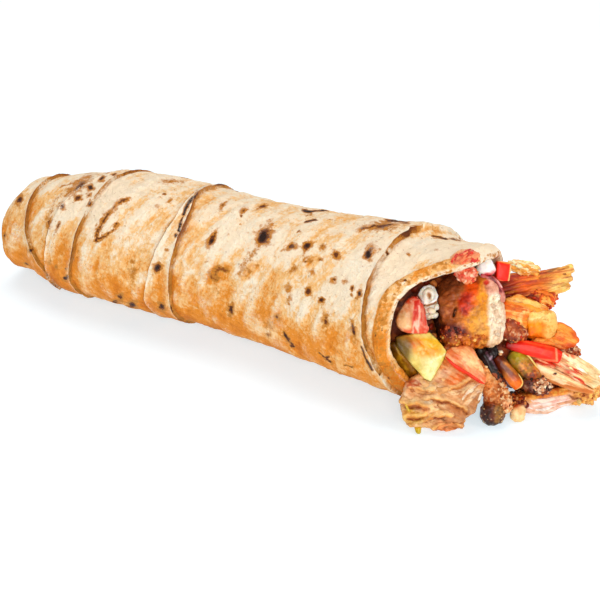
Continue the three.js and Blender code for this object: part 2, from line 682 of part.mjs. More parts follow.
    name: "white_crumbs", paint: CREAM, at: [6.8, -15.2, 48.6], face: FRONT, spin: 100,
    shape: (grow) => crumbs({ size: [15, 8.4, 7], count: 5, grain: 4.6, seed: 5, middle: 0.72 }, grow),
  },
  {
    name: "soaked_inner_fold", paint: GREEN, at: [1, -28.4, 23.6], face: [0, -14], spin: 0,
    shape: (grow) =>
      strip({ path: [[-4.6, 8, -3], [-1, 1, -2], [5, -6.4, -2.4]],
        width: [6, 8, 6.4], thick: 2.4, steps: 5 }, grow),
  },
  {
    name: "crumb_mass_left", paint: CRUMB, at: [37, 1.6, 35.4], face: FRONT, spin: -30,
    shape: (grow) => crumbs({ size: [15, 12, 9], count: 6, grain: 4, seed: 9 }, grow),
  },
  {
    name: "crumb_mass_right", paint: CRUMB, at: [57.2, 14.6, 25.8], face: [40, 25], spin: -30,
    shape: (grow) => crumbs({ size: [14, 9.6, 8], count: 6, grain: 3.4, seed: 11 }, grow),
  },
  {
    name: "green_shred", paint: GREEN, at: [13, -34.4, 3.4], face: [20, 45], spin: 0,
    shape: (grow) =>
      strip({ path: [[-1.8, 4, -1.2], [-0.4, 0.6, -0.6], [0.8, -4.4, -1.2]],
        width: [3.4, 3, 1.4], thick: 1.6, steps: 4, sides: 6 }, grow),
  },
  {
    name: "far_roast_slice", paint: ROAST, at: [40, 31, 22], face: [150, 18], spin: 10,
    shape: (grow) =>
      slice({
        outline: [[-15, -6], [-14, 4], [-6, 9], [5, 8], [13, 3], [14, -6], [4, -10], [-8, -10]],
        thick: 9, wave: 1, seed: 8, dome: 1.6, steps: 16,
      }, grow),
  },
  {
    name: "far_green_wedge", paint: GREEN, at: [33, 29.4, 38.6], face: [160, 34], spin: -20,
    shape: (grow) =>
      slice({ outline: [[-9, -2], [-4, 4], [5, 4.4], [9, 0], [3, -4], [-5, -4.6]],
        thick: 6, steps: 16 }, grow),
  },
  {
    name: "far_seared_piece", paint: SEARED, at: [27, 32.5, 12.5], face: [165, 12], spin: 0,
    shape: (grow) => chunk({ size: [20, 19, 14], square: 2.8, rough: 0.1, seed: 17 }, grow),
  },
];

// Where a piece stands: its frame in the wrap's own frame.
function standing({ at, face: [round, up], spin }) {
  const [a, e] = [round * RAD, up * RAD];
  const out = new THREE.Vector3(Math.sin(a) * Math.cos(e), -Math.cos(a) * Math.cos(e), Math.sin(e));
  const side = new THREE.Vector3(Math.cos(a), Math.sin(a), 0).applyAxisAngle(out, spin * RAD);
  const rise = out.clone().cross(side);
  return new THREE.Matrix4().makeBasis(side, rise, out).setPosition(...at);
}

// The lower half space is taken off, so that nothing reaches below the surface it lies on.
const BELOW = solidOf(new THREE.BoxGeometry(600, 600, 100).translate(0, 0, -50));

function fitPieces() {
  const taken = [{ name: "flatbread", solid: breadSolid(GAP) }];
  const fitted = [];
  for (const piece of PIECES) {
    const frame = standing(piece);
    const put = (solid) => solid.transform(frame.elements);
    let solid = put(piece.shape(0)).subtract(BELOW);
    for (const other of taken) solid = solid.subtract(other.solid);
    fitted.push({ ...piece, frame, solid: largest(solid) });
    taken.push({ name: piece.name, solid: put(piece.shape(GAP)) });
  }
  const room = joined(taken.slice(1).map((t) => t.solid));
  fitted.push({
    name: "filling_core", paint: SAUCED, frame: new THREE.Matrix4(),
    solid: largest(coreSolid().subtract(taken[0].solid).subtract(room)),
  });
  fitted.push({ name: "flatbread", paint: BREAD, frame: new THREE.Matrix4(), solid: breadSolid(0) });
  return fitted;
}

function meshOf({ name, paint: material, frame, solid }) {
  const geometry = geometryOf(solid);
  geometry.applyMatrix4(frame.clone().invert());
  const mesh = new THREE.Mesh(geometry, material);
  mesh.name = name;
  mesh.applyMatrix4(frame);
  return mesh;
}

const wrap = new THREE.Group();
for (const piece of fitPieces()) wrap.add(meshOf(piece));

wrap.updateMatrixWorld(true);
const box = new THREE.Box3().setFromObject(wrap, true);
wrap.position.set(-(box.min.x + box.max.x) / 2, -(box.min.y + box.max.y) / 2, -box.min.z);

export default wrap;
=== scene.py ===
"""The looks of a rolled flatbread wrap: bread, filling, crumbs and sauce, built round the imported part."""

import itertools
import math

import bmesh
import bpy
import numpy as np
from mathutils import Matrix, Vector


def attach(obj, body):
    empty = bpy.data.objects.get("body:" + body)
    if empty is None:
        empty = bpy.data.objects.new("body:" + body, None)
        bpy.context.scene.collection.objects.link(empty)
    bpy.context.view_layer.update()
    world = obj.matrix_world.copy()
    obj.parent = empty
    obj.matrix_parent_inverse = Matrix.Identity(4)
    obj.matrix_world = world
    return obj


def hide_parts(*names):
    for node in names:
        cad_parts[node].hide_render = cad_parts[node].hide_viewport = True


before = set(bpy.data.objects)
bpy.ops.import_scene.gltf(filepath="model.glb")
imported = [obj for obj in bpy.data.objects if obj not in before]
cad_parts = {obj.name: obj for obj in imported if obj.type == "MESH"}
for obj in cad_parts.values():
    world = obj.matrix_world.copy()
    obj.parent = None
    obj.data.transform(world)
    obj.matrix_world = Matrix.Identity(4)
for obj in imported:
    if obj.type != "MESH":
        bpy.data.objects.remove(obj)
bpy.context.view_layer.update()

# ------------------------------------------------------------------ places, in millimetres
# The wrap's own frame: x = 0 at the lowest point of the lip's near side, +X out of the open end,
# y = 0 the middle of the roll, z = 0 the surface that it lies on.

ROW_SHIFT = np.array([71.868, -0.12, 0.0])  # from the wrap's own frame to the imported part's frame
CAMERA = np.array([252.8, -539.8, 369.4])
LOOK_AT = np.array([-55.9, -11.1, 30.0])
PICTURE = 600
FOCAL = 1639.0  # in pixels of the picture

BACK = (CAMERA - LOOK_AT) / np.linalg.norm(CAMERA - LOOK_AT)
RIGHT = np.cross([0.0, 0.0, 1.0], BACK)
RIGHT /= np.linalg.norm(RIGHT)
UP = np.cross(BACK, RIGHT)


def picture_axes(direction):
    """Along a direction of the picture (degrees anticlockwise), across it, and towards the camera."""
    c, s = math.cos(math.radians(direction)), math.sin(math.radians(direction))
    return RIGHT * c + UP * s, UP * c - RIGHT * s, BACK


def metres(points):
    return (np.asarray(points, float) + ROW_SHIFT) / 1000.0


def millimetres(points):
    return np.asarray(points, float) * 1000.0 - ROW_SHIFT


def picture(points):
    """Where points show in the photograph's frame, in pixels right and down."""
    q = points - CAMERA
    depth = -(q @ BACK)
    return PICTURE / 2 + FOCAL * (q @ RIGHT) / depth, PICTURE / 2 - FOCAL * (q @ UP) / depth


def facing_camera(points, out):
    """1 where a surface looks straight at the camera, 0 where it is edge on and less behind."""
    view = (CAMERA - points) / np.linalg.norm(CAMERA - points, axis=1)[:, None]
    return (out * view).sum(1)


# ------------------------------------------------------------------ numbers over a surface


def fade(value, start, end):
    """0 at start, 1 at end and smooth between them."""
    t = np.clip((value - start) / (end - start), 0.0, 1.0)
    return t * t * (3 - 2 * t)


def lattice(cell, seed):
    """A fixed value between -1 and 1 for each whole-number corner of space."""
    h = cell[..., 0] * 374761393 + cell[..., 1] * 668265263 + cell[..., 2] * 1440662683 + seed * 982451653
    h = h.astype(np.uint32)
    h = (h ^ (h >> np.uint32(15))) * np.uint32(2246822519)
    h = (h ^ (h >> np.uint32(13))) * np.uint32(3266489917)
    return ((h ^ (h >> np.uint32(16))) & np.uint32(0xFFFFFF)) / 8388607.5 - 1.0


def grain(points, size, seed=0):
    """Smooth noise between -1 and 1 with features about size across; size may differ per axis."""
    q = points / np.asarray(size, float) + 0.37 * seed
    base = np.floor(q).astype(np.int64)
    t = q - base
    t = t * t * t * (t * (t * 6 - 15) + 10)
    total = np.zeros(points.shape[:-1])
    for corner in itertools.product((0, 1), repeat=3):
        step = np.array(corner)
        total += np.prod(np.where(step == 1, t, 1 - t), axis=-1) * lattice(base + step, seed)
    return total


TURN = np.array([[0.36, 0.48, -0.8], [-0.8, 0.6, 0.0], [0.48, 0.64, 0.6]])


def rough(points, size, octaves=3, seed=0):
    """Noise with finer and finer detail, between about -1 and 1."""
    total = np.zeros(points.shape[:-1])
    turned = points
    for k in range(octaves):
        total += grain(turned, np.asarray(size, float) / 2.03**k, seed + 31 * k) / 1.9**k
        if np.ndim(size) == 0:
            turned = turned @ TURN
    return total / 1.3


def pebbles(points, size, seed):
    """Distance to the nearest of scattered points, in units of size."""
    q = points / size
    base = np.floor(q).astype(np.int64)
    nearest = np.full(len(points), 9.0)
    for step in itertools.product((-1, 0, 1), repeat=3):
        cell = base + np.array(step)
        middle = cell + 0.5 + 0.45 * np.stack([lattice(cell, seed + k) for k in (1, 2, 3)], -1)
        nearest = np.minimum(nearest, np.linalg.norm(q - middle, axis=-1))
    return nearest


def curve(knots, t, period=0.0):
    """A smooth line through [t, value] knots; with a period it runs round without a join."""
    k = np.array(knots, float)
    t = np.asarray(t, float)
    if period:
        k = np.vstack([k[-2:] - [period, 0], k, k[:3] + [period, 0]])
        t = k[2, 0] + np.mod(t - k[2, 0], period)
    else:
        k = np.vstack([k[:1], k, k[-1:]])
    i = np.clip(np.searchsorted(k[:, 0], t, "right") - 1, 1, len(k) - 3)
    slope = (k[2:, 1] - k[:-2, 1]) / (k[2:, 0] - k[:-2, 0])
    span = k[i + 1, 0] - k[i, 0]
    s = np.clip((t - k[i, 0]) / span, 0, 1)
    return (
        k[i, 1] * (2 * s**3 - 3 * s**2 + 1)
        + k[i + 1, 1] * (3 * s**2 - 2 * s**3)
        + span * (slope[i - 1] * (s**3 - 2 * s**2 + s) + slope[i] * (s**3 - s**2))
    )


# ------------------------------------------------------------------ colours


def linear(code):
    """A colour such as #e8bd86 as linear red, green and blue."""
    c = np.array([int(code[i : i + 2], 16) / 255 for i in (1, 3, 5)])
    return np.where(c <= 0.04045, c / 12.92, ((c + 0.055) / 1.055) ** 2.4)


def richer(colours, power):
    """Colours with their weaker parts pulled down, so that soft light doesn't wash them out."""
    strongest = colours.max(axis=1)[:, None] + 1e-6
    return strongest * np.clip(colours / strongest, 0, 1) ** power


def tinted(base, amount, code):
    """Colours moved towards one colour by an amount at each point."""
    amount = np.clip(amount, 0, 1)[:, None]
    return base * (1 - amount) + linear(code) * amount


# ------------------------------------------------------------------ meshes


def piece_from(name, points, faces, paint, node, values=None, colours=None):
    """A shown piece from places in millimetres. Values and colours become attributes."""
    mesh = bpy.data.meshes.new(name)
    mesh.from_pydata(metres(points).tolist(), [], faces if isinstance(faces, list) else faces.tolist())
    for key, value in (values or {}).items():
        mesh.attributes.new(key, "FLOAT", "POINT").data.foreach_set("value", value.astype(np.float32))
    for key, value in (colours or {}).items():
        rgba = np.ones((len(points), 4), np.float32)
        rgba[:, :3] = value
        mesh.attributes.new(key, "FLOAT_COLOR", "POINT").data.foreach_set("color", rgba.ravel())
    mesh.polygons.foreach_set("use_smooth", np.ones(len(mesh.polygons), bool))
    mesh.materials.append(paint)
    mesh.update()
    obj = bpy.data.objects.new(name, mesh)
    bpy.context.scene.collection.objects.link(obj)
    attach(obj, "root")
    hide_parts(node)


def normals_of(points, faces):
    """Smooth outward directions of a closed mesh of quads or triangles."""
    tris = np.concatenate([faces[:, [0, i, i + 1]] for i in range(1, faces.shape[1] - 1)])
    a, b, c = (points[tris[:, i]] for i in range(3))
    flat = np.cross(b - a, c - a)
    out = np.zeros_like(points)
    for i in range(3):
        for axis in range(3):
            out[:, axis] += np.bincount(tris[:, i], flat[:, axis], len(points))
    return out / (np.linalg.norm(out, axis=1)[:, None] + 1e-12)


def relaxed(points, edges, rounds, share=0.5):
    """Points moved towards the middle of their neighbours, a number of times."""
    count = np.bincount(edges.ravel(), minlength=len(points))[:, None]
    for _ in range(rounds):
        total = np.zeros_like(points)
        for axis in range(3):
            total[:, axis] += np.bincount(edges[:, 0], points[edges[:, 1], axis], len(points))
            total[:, axis] += np.bincount(edges[:, 1], points[edges[:, 0], axis], len(points))
        points = points + share * (total / np.maximum(count, 1) - points)
    return points


def fine_copy(node, fineness, melt):
    """The CAD solid of a node as a fine even mesh of quads whose edges have melted a little."""
    bm = bmesh.new()
    bm.from_mesh(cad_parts[node].data)
    bmesh.ops.remove_doubles(bm, verts=bm.verts, dist=1e-6)
    mesh = bpy.data.meshes.new("working")
    bm.to_mesh(mesh)
    bm.free()
    obj = bpy.data.objects.new("working", mesh)
    bpy.context.scene.collection.objects.link(obj)
    modifier = obj.modifiers.new("fine", "REMESH")
    modifier.mode = "VOXEL"
    modifier.voxel_size = fineness / 1000
    evaluated = obj.evaluated_get(bpy.context.evaluated_depsgraph_get())
    fine = evaluated.to_mesh()
    points = np.empty(len(fine.vertices) * 3)
    fine.vertices.foreach_get("co", points)
    points = millimetres(points.reshape(-1, 3))
    edges = np.empty(len(fine.edges) * 2, int)
    fine.edges.foreach_get("vertices", edges)
    faces = np.array([list(p.vertices) for p in fine.polygons if len(p.vertices) == 4])
    evaluated.to_mesh_clear()
    bpy.data.objects.remove(obj)
    bpy.data.meshes.remove(mesh)
    edges = edges.reshape(-1, 2)
    return relaxed(points, edges, melt), faces, edges


# ------------------------------------------------------------------ paints


class Wire:
    """A node's output that can be reckoned with: each operator adds a Math node."""

    def __init__(self, paint, socket):
        self.paint = paint
        self.socket = socket

    def __add__(self, other):
        return self.paint.maths("ADD", self, other)

    def __sub__(self, other):
        return self.paint.maths("SUBTRACT", self, other)

    def __rsub__(self, other):
        return self.paint.maths("SUBTRACT", other, self)

    def __mul__(self, other):
        return self.paint.maths("MULTIPLY", self, other)

    def at_least(self, least):
        return self.paint.maths("MAXIMUM", self, least)

    __radd__ = __add__
    __rmul__ = __mul__


class Paint:
    """A material with one Principled shader, whose nodes are added through node()."""

    def __init__(self, name, **finish):
        self.material = bpy.data.materials.new(name)
        self.material.use_nodes = True
        self.tree = self.material.node_tree
        self.tree.nodes.clear()
        self.shader = self.tree.nodes.new("ShaderNodeBsdfPrincipled")
        end = self.tree.nodes.new("ShaderNodeOutputMaterial")
        self.tree.links.new(self.shader.outputs[0], end.inputs[0])
        self.set_sockets(self.shader, finish)

    def set_sockets(self, node, sockets):
        for key, value in sockets.items():
            socket = node.inputs[key if isinstance(key, int) else key.replace("_", " ")]
            if isinstance(value, Wire):
                self.tree.links.new(value.socket, socket)
            else:
                socket.default_value = value

    def node(self, kind, settings=None, sockets=None, out=0):
        made = self.tree.nodes.new("ShaderNode" + kind)
        for key, value in (settings or {}).items():
            setattr(made, key, value)
        self.set_sockets(made, sockets or {})
        return Wire(self, made.outputs[out])

    def maths(self, operation, a, b=0.0):
        return self.node("Math", {"operation": operation}, {0: a, 1: b})

    def value(self, name):
        return self.node("Attribute", {"attribute_name": name}, out=2)

    def colour(self, name):
        return self.node("Attribute", {"attribute_name": name}, out=0)

    def place(self):
        return self.node("TexCoord", out=3)

    def noise(self, size, detail=3.0, roughness=0.55, where=None, distortion=0.0):
        """Fractal noise from 0 to 1 with features of about that many millimetres."""
        sockets = {
            "Vector": where or self.place(),
            "Scale": 1000.0 / size,
            "Detail": detail,
            "Roughness": roughness,
            "Distortion": distortion,
        }
        return self.node("TexNoise", {}, sockets)

    def between(self, wire, start, end):
        """0 at start, 1 at end and smooth between them."""
        sockets = {"Value": wire, "From Min": start, "From Max": end}
        return self.node("MapRange", {"interpolation_type": "SMOOTHSTEP"}, sockets)

    def mix(self, amount, a, b, blend="MIX"):
        """A colour between two colours; each may be a wire or a colour code."""
        settings = {"data_type": "RGBA", "blend_type": blend}
        a, b = (c if isinstance(c, Wire) else (*linear(c), 1.0) for c in (a, b))
        return self.node("Mix", settings, {0: amount, 6: a, 7: b}, out=2)

    def drawn_out(self, axes, scale):
        """The object's places along turned axes, drawn out by a scale for each."""
        turn = tuple(Matrix(axes.tolist()).to_euler())
        sockets = {"Vector": self.place(), "Rotation": turn, "Scale": scale}
        return self.node("Mapping", {"vector_type": "TEXTURE"}, sockets)

    def bump(self, height, distance):
        return self.node("Bump", {}, {"Height": height, "Distance": distance / 1000, "Strength": 0.9})

    def finish(self, **sockets):
        self.set_sockets(self.shader, sockets)
        return self.material


# ------------------------------------------------------------------ the rolled bread
# The same dimensions as the CAD bread: the roll, its layer edges and its lip.

SAG = 1.0
MOUTH_SETTLE = 4.8
WALL = 4.4
ROLL = [
    (-212, 19.4, -0.2), (-206, 21.9, -0.2), (-198, 22.9, -0.2), (-186, 26.6, -0.2), (-170, 29.1, 0.0),
    (-150, 31.0, 1.0), (-125, 31.2, 3.0), (-100, 30.8, 4.7), (-75, 31.2, 4.1), (-50, 32.8, 2.1),
    (-25, 34.2, 0.5), (5, 36.3, -0.7), (40, 37.0, -0.7),
]
RADIUS = [(x, radius) for x, radius, _ in ROLL]
DRIFT = [(x, drift) for x, _, drift in ROLL]
LIFT = [(-212, 2.9), (-198, 3.6), (-186, 0.2), (-160, 0), (40, 0)]
ROLL_START, ROLL_STOP = ROLL[0][0], ROLL[-1][0]
TUCKED_END = -216.2
END_CAP_EDGE = [[-30, -180], [15, -192], [50, -197], [90, -197], [150, -192], [240, -184]]
BAND_START = [[-30, -181], [15, -178.5], [50, -175], [90, -165], [150, -159], [240, -172]]
BAND_END = [[-30, -167], [15, -162], [50, -159.5], [90, -156.5], [150, -152], [240, -163]]
FOLD_START = [[-30, -127], [15, -121], [50, -117], [90, -116.5], [150, -118], [240, -125]]
FOLD_END = [[-30, -113], [15, -111.5], [50, -110.5], [90, -114], [150, -112], [240, -113]]
OUTER_LAYER_EDGE = [[-30, -2.5], [5, -11.5], [40, -14], [80, -12], [120, -3], [180, 3], [250, 3]]
LIP = [
    [-60, 10], [-30, 6], [-5, -0.5], [20, -1.5], [40, 1], [57, 9], [72, 19], [90, 24], [110, 24], [135, 21],
    [180, 17], [240, 12],
]
CAP_LAYER = 1.3
BAND_LAYER = 1.1
FOLD_CREST = 1.5
OUTER_LAYER = 1.9
COLUMNS = 300
SHOWN_SIDE = 40  # the angle that the columns stand closest round
CROWDING = 0.35
SEAM_STEPS = (-1.3, -0.7, -0.3, -0.1, 0.1, 0.3, 0.7, 1.3)


def radius_at(x):
    return curve(RADIUS, np.clip(x, ROLL_START, ROLL_STOP))


def on_roll(x, angle, radius):
    """A point of the roll, pressed flat where it would go below the floor."""
    edge = curve(OUTER_LAYER_EDGE, angle, 360)
    opened = np.clip((x - edge + 2) / 6, 0, 1)
    far = np.maximum(np.sin(np.radians(angle - 34)), 0) ** 1.5
    middle = curve(DRIFT, np.clip(x, ROLL_START, ROLL_STOP))
    height = radius_at(x) - SAG + curve(LIFT, np.clip(x, ROLL_START, ROLL_STOP))
    y = middle - radius * np.cos(np.radians(angle))
    z = height + radius * np.sin(np.radians(angle)) - MOUTH_SETTLE * opened * far
    return np.stack([x + 0 * y, y, np.maximum(z, 0.0)], -1)


def seam_lines(angle):
    """Where each layer edge crosses each angle, with the small waver of torn bread."""
    wander = np.stack([np.cos(np.radians(angle)), np.sin(np.radians(angle)), 0 * angle], -1)
    lines = {}
    for k, (name, knots) in enumerate({
        "cap": END_CAP_EDGE, "band_start": BAND_START, "band_end": BAND_END,
        "fold_start": FOLD_START, "fold_end": FOLD_END, "outer": OUTER_LAYER_EDGE,
    }.items()):
        waver = 0.5 * rough(wander * 30, 11, 2, seed=60 + k) + 0.16 * rough(wander * 30, 2.4, 2, seed=70 + k)
        lines[name] = curve(knots, angle, 360) + waver
    torn = fade(angle, 78, 96) * fade(angle, 150, 128)
    lines["outer"] = lines["outer"] + torn * (1.5 * rough(wander * 30, 3.4, 3, seed=77) - 0.6)
    return lines


def wrinkles(points):
    """The bread's fine wrinkles: their valleys are painted warmer as painted shade and their crests paler
    with flour and a painted highlight.
    """
    return rough(points @ SLANT, (4.2, 15, 15), 3, seed=5)


def bread_stations(angle):
    """Places along the roll, one row each, that follow the layer edges at every angle."""
    lines = list(seam_lines(angle).values())
    rows = []

    def between(a, b, count, pull=0.55):
        t = np.arange(1, count + 1) / (count + 1)
        t = t - pull * np.sin(2 * np.pi * t) / (2 * np.pi)
        rows.extend(a + (b - a) * s for s in t)

    start = np.full_like(angle, ROLL_START)
    rows.append(start)
    counts = (18, 22, 16, 44, 9, 104)
    for line, count in zip(lines, counts):
        between(start, line + SEAM_STEPS[0], count)
        rows.extend(line + step for step in SEAM_STEPS)
        start = line + SEAM_STEPS[-1]
    between(start, curve(LIP, angle, 360) - 4.5, 30, 0.2)
    return np.array(rows)


def bread_relief(x, angle, places):
    """Height of the bread's surface over the plain roll."""
    lines = seam_lines(angle)
    shows = 0.62 + 0.38 * np.cos(np.radians(angle - 45))
    flat = places.reshape(-1, 3)
    lumps = rough(flat, (26, 17, 17), 2, seed=3).reshape(x.shape)
    creases = wrinkles(flat).reshape(x.shape)
    fine = rough(flat, 2.6, 3, seed=9).reshape(x.shape)
    cap = np.where(x < lines["cap"], CAP_LAYER * np.exp((x - lines["cap"]) / 9), 0)
    band = np.where((x > lines["band_start"]) & (x < lines["band_end"]), BAND_LAYER, 0)
    across = (x - lines["fold_start"]) / (lines["fold_end"] - lines["fold_start"])
    fold = np.where((across > 0) & (across < 1), FOLD_CREST * (0.35 + 0.65 * across), 0)
    outer = np.where(x < lines["outer"], OUTER_LAYER * np.exp((x - lines["outer"]) / 22), 0)
    outer = np.where(x > lines["fold_end"], outer, 0)
    height = (cap + band + fold + outer) * shows
    # a rounded, slightly thicker rim on the upper side of each edge and a groove on the lower side
    for name, side in EDGE_SIDES.items():
        d = (x - lines[name]) * side
        rim = np.where(d > 0, np.exp(-d / 1.2), 0) * 0.55
        groove = np.where(d < 0, np.exp(d / 0.7), 0) * 0.8
        height += (rim - groove) * shows
    return height + 0.6 * lumps + 0.62 * creases + 0.2 * fine


EDGE_SIDES = {"cap": -1, "band_start": 1, "band_end": -1, "fold_start": 1, "fold_end": -1, "outer": -1}
SLANT = np.array([[0.93, -0.26, -0.26], [0.37, 0.66, 0.66], [0.0, -0.71, 0.71]]).T
TUCK_PLEATS = 5
TUCK_DIMPLE = 3.2
LIP_NOISE_RADIUS = 34  # the lip's noise is taken on a roll of this radius
LIP_PROFILE = [(-4.5, 0.0), (-3.4, -0.2), (-1.2, -1.3), (0.0, -3.1), (-0.8, -4.7), (-3.0, -5.2)]

# Browned marks that the photograph shows, as ellipses in its frame:
# across, down, half length, half width, tilt of the length (degrees, anticlockwise), darkness.
MARKS = [
    (263.5, 236.5, 8.0, 5.2, 60, 1.0), (266, 231, 7.5, 5.0, 60, 0.5), (211, 241, 6.5, 2.6, 62, 0.85),
    (215, 233, 5.0, 2.6, 62, 0.45), (243, 210, 3.6, 2.6, 10, 0.55), (242, 216, 1.2, 1.0, 0, 0.75),
    (262, 206.5, 4.6, 2.2, 15, 0.62), (222, 206, 7.0, 2.2, 48, 0.4), (171, 181.5, 10.0, 2.4, 0, 0.38),
    (165, 193.8, 1.2, 1.0, 0, 0.9), (161, 197, 1.0, 0.8, 0, 0.5), (170, 201, 3.0, 2.0, 30, 0.5),
    (157, 205, 3.6, 2.6, 70, 0.28), (291, 246.5, 5.2, 3.4, 25, 0.66), (284, 250, 5.5, 1.4, 25, 0.4),
    (307.5, 246, 4.8, 3.2, 55, 0.9), (322.5, 246.5, 3.2, 2.4, 40, 0.5), (336, 255.5, 3.4, 4.2, 20, 0.6),
    (332.5, 249, 1.0, 1.0, 0, 0.6), (319, 260, 2.2, 1.6, 50, 0.6), (306, 259, 6.0, 1.6, 35, 0.38),
    (294, 269, 5.0, 2.6, 40, 0.45), (313, 271.5, 4.2, 3.2, 50, 0.38), (333.5, 280, 2.6, 2.6, 0, 0.52),
    (345, 281, 2.4, 3.6, 0, 0.36), (288.5, 288.5, 2.2, 4.2, 0, 0.55), (289.5, 299, 2.4, 4.5, 0, 0.38),
    (289, 304, 1.2, 1.0, 0, 0.62), (308, 291, 2.6, 3.8, 0, 0.8), (321.6, 299.8, 2.8, 2.4, 20, 0.92),
    (277.5, 317, 3.2, 3.8, 20, 0.55), (270, 325, 5.0, 10.0, 40, 0.26), (325.5, 320, 3.0, 8.0, 0, 0.46),
    (326, 321.5, 1.8, 2.6, 0, 0.62), (230.6, 309.5, 2.7, 4.8, 0, 1.0), (157.6, 268, 2.8, 4.6, -20, 0.95),
    (167, 250.5, 1.8, 2.0, 30, 0.6), (175.6, 235.8, 1.3, 2.0, -20, 0.92), (162, 307, 3.0, 3.4, 30, 0.88),
    (79, 186, 14.0, 4.2, 40, 0.52), (84, 182, 10.0, 2.0, 30, 0.4), (90.6, 187.6, 3.0, 2.8, 40, 0.92),
    (102, 178, 3.4, 1.8, 40, 0.9), (114.5, 174, 3.0, 1.2, 15, 0.7), (108, 172.5, 2.6, 0.9, 15, 0.55),
    (78, 198.3, 4.0, 2.2, 25, 0.66), (89.5, 203.5, 1.3, 2.8, -25, 0.85), (88.5, 195, 3.2, 2.2, 40, 0.52),
    (62.5, 206, 3.2, 3.0, 50, 0.62), (58, 225.8, 1.4, 3.8, -20, 0.92), (54, 235, 1.2, 1.2, 0, 0.45),
    (48.5, 223.5, 3.0, 7.5, 0, 0.42), (19.8, 199.5, 2.6, 4.6, -10, 0.8), (18, 205, 3.4, 3.0, 0, 0.35),
    (4.8, 235, 1.4, 2.8, 0, 0.6), (31, 250, 1.9, 1.9, 0, 0.95), (27.4, 223.8, 0.9, 1.5, 0, 0.6),
    (27, 264, 2.8, 1.0, -25, 0.8), (65, 268.4, 1.2, 1.2, 0, 0.7), (65.6, 278, 1.9, 1.7, 0, 0.95),
    (56, 267, 1.3, 2.0, 0, 0.5), (49, 262, 2.0, 4.0, 0, 0.35), (120.5, 297, 3.2, 3.2, 0, 0.74),
    (115, 301.6, 2.6, 1.3, -20, 0.9), (132.5, 304.5, 4.0, 3.0, -20, 0.8), (133, 272, 2.8, 9.0, 0, 0.44),
    (131.5, 262, 2.4, 2.4, 0, 0.46), (369, 254, 3.6, 5.4, -18, 1.0), (372.5, 249, 5.6, 6.0, -18, 0.42),
    (352.2, 288.5, 1.6, 2.8, -20, 0.72), (351.5, 295, 1.2, 1.6, 0, 0.56), (359.2, 293.5, 2.2, 3.4, -10, 0.9),
    (352.8, 329, 2.6, 9.0, 8, 0.62), (354, 332, 1.6, 4.6, 8, 0.8), (268.5, 334.5, 2.2, 2.4, 0, 0.58),
    (327, 357, 2.0, 1.6, 0, 0.88), (409, 254.3, 2.8, 1.7, -40, 0.62), (435.5, 249.8, 3.8, 1.5, 0, 0.24),
    (299, 231.3, 2.0, 1.0, 15, 0.56), (305.5, 262, 1.4, 1.2, 0, 0.5), (96, 240, 2.6, 2.2, 0, 0.66),
    (99, 241, 3.6, 1.4, 30, 0.46), (122, 200, 5.0, 2.2, 10, 0.48), (207, 262, 1.6, 1.2, 0, 0.5),
    (362.5, 228.5, 5.5, 3.0, 20, 0.5), (382, 226, 13.0, 4.4, 4, 0.52), (396, 220.8, 9.0, 1.5, -3, 1.0),
    (388, 225.0, 8.0, 1.1, 10, 0.8), (372, 226.5, 6.0, 1.1, 25, 0.66), (407, 221.0, 4.0, 2.0, 0, 0.86),
    (240, 225, 2.0, 1.6, 0, 0.32), (228, 234, 3.0, 2.2, 20, 0.24), (247, 232.5, 2.6, 1.6, 0, 0.26),
]
# Long thin burnt lines and creases, and dark painted shadow lines in the gaps under layer edges: the line's
# points, half width, darkness.
BURNT_AND_SHADOW_LINES = [
    ([(198, 193), (191, 200), (186, 208), (183.5, 214)], 1.5, 1.0),
    ([(182.5, 217), (181, 221)], 0.8, 0.85), ([(180.5, 224), (178, 231)], 1.3, 1.0),
    ([(303, 210.5), (309, 212.0), (316, 211), (327, 210)], 0.9, 1.0),
    ([(305, 222.5), (311, 221), (317, 220)], 0.9, 0.85),
    ([(305, 215.5), (313, 215)], 0.7, 0.45), ([(328, 219.5), (335, 220)], 0.7, 0.45),
    ([(227, 187.5), (234, 189), (240, 191)], 0.9, 0.6), ([(181, 176.8), (188, 178)], 0.8, 0.55),
    ([(433, 236), (440, 237), (446, 239)], 1.0, 0.9), ([(451, 238.5), (460, 241)], 0.9, 0.85),
    ([(403, 235.5), (409, 231.5), (416, 231.5)], 1.0, 1.0), ([(383, 257.5), (387, 253.5)], 1.1, 0.9),
    ([(283, 332), (288, 340), (293, 347)], 1.3, 0.85), ([(319, 353), (327, 359), (332, 364)], 0.8, 0.72),
    ([(361, 346), (366, 360), (372, 370)], 1.1, 0.72), ([(344, 365), (353, 367)], 0.7, 0.5),
    ([(216.5, 288), (217.5, 301)], 0.7, 0.45), ([(263, 241), (249, 258), (238, 274)], 3.2, 0.3),
    ([(128, 199), (118, 203), (108, 214), (100, 226), (96, 238)], 2.8, 0.46),
    ([(96, 240), (106, 236), (114, 229), (117, 223)], 1.8, 0.5),
    ([(60, 187), (72, 183), (88, 177)], 1.6, 0.34),
    ([(51, 213), (54, 201), (62, 194)], 1.3, 0.3), ([(141, 311), (146, 314)], 1.6, 0.9),
]
# Blistered patches: middle across and down, half length, half width, tilt.
BLISTERS = [(217, 272, 16, 10, 20), (251, 270, 15, 7, 42), (312, 262, 9, 6, 40)]


def ellipse(across, down, middle, half, tilt):
    """1 on the edge of a turned ellipse in the picture, less inside it."""
    c, s = math.cos(math.radians(tilt)), math.sin(math.radians(tilt))
    u = (across - middle[0]) * c - (down - middle[1]) * s
    v = (across - middle[0]) * s + (down - middle[1]) * c
    return np.hypot(u / half[0], v / half[1])


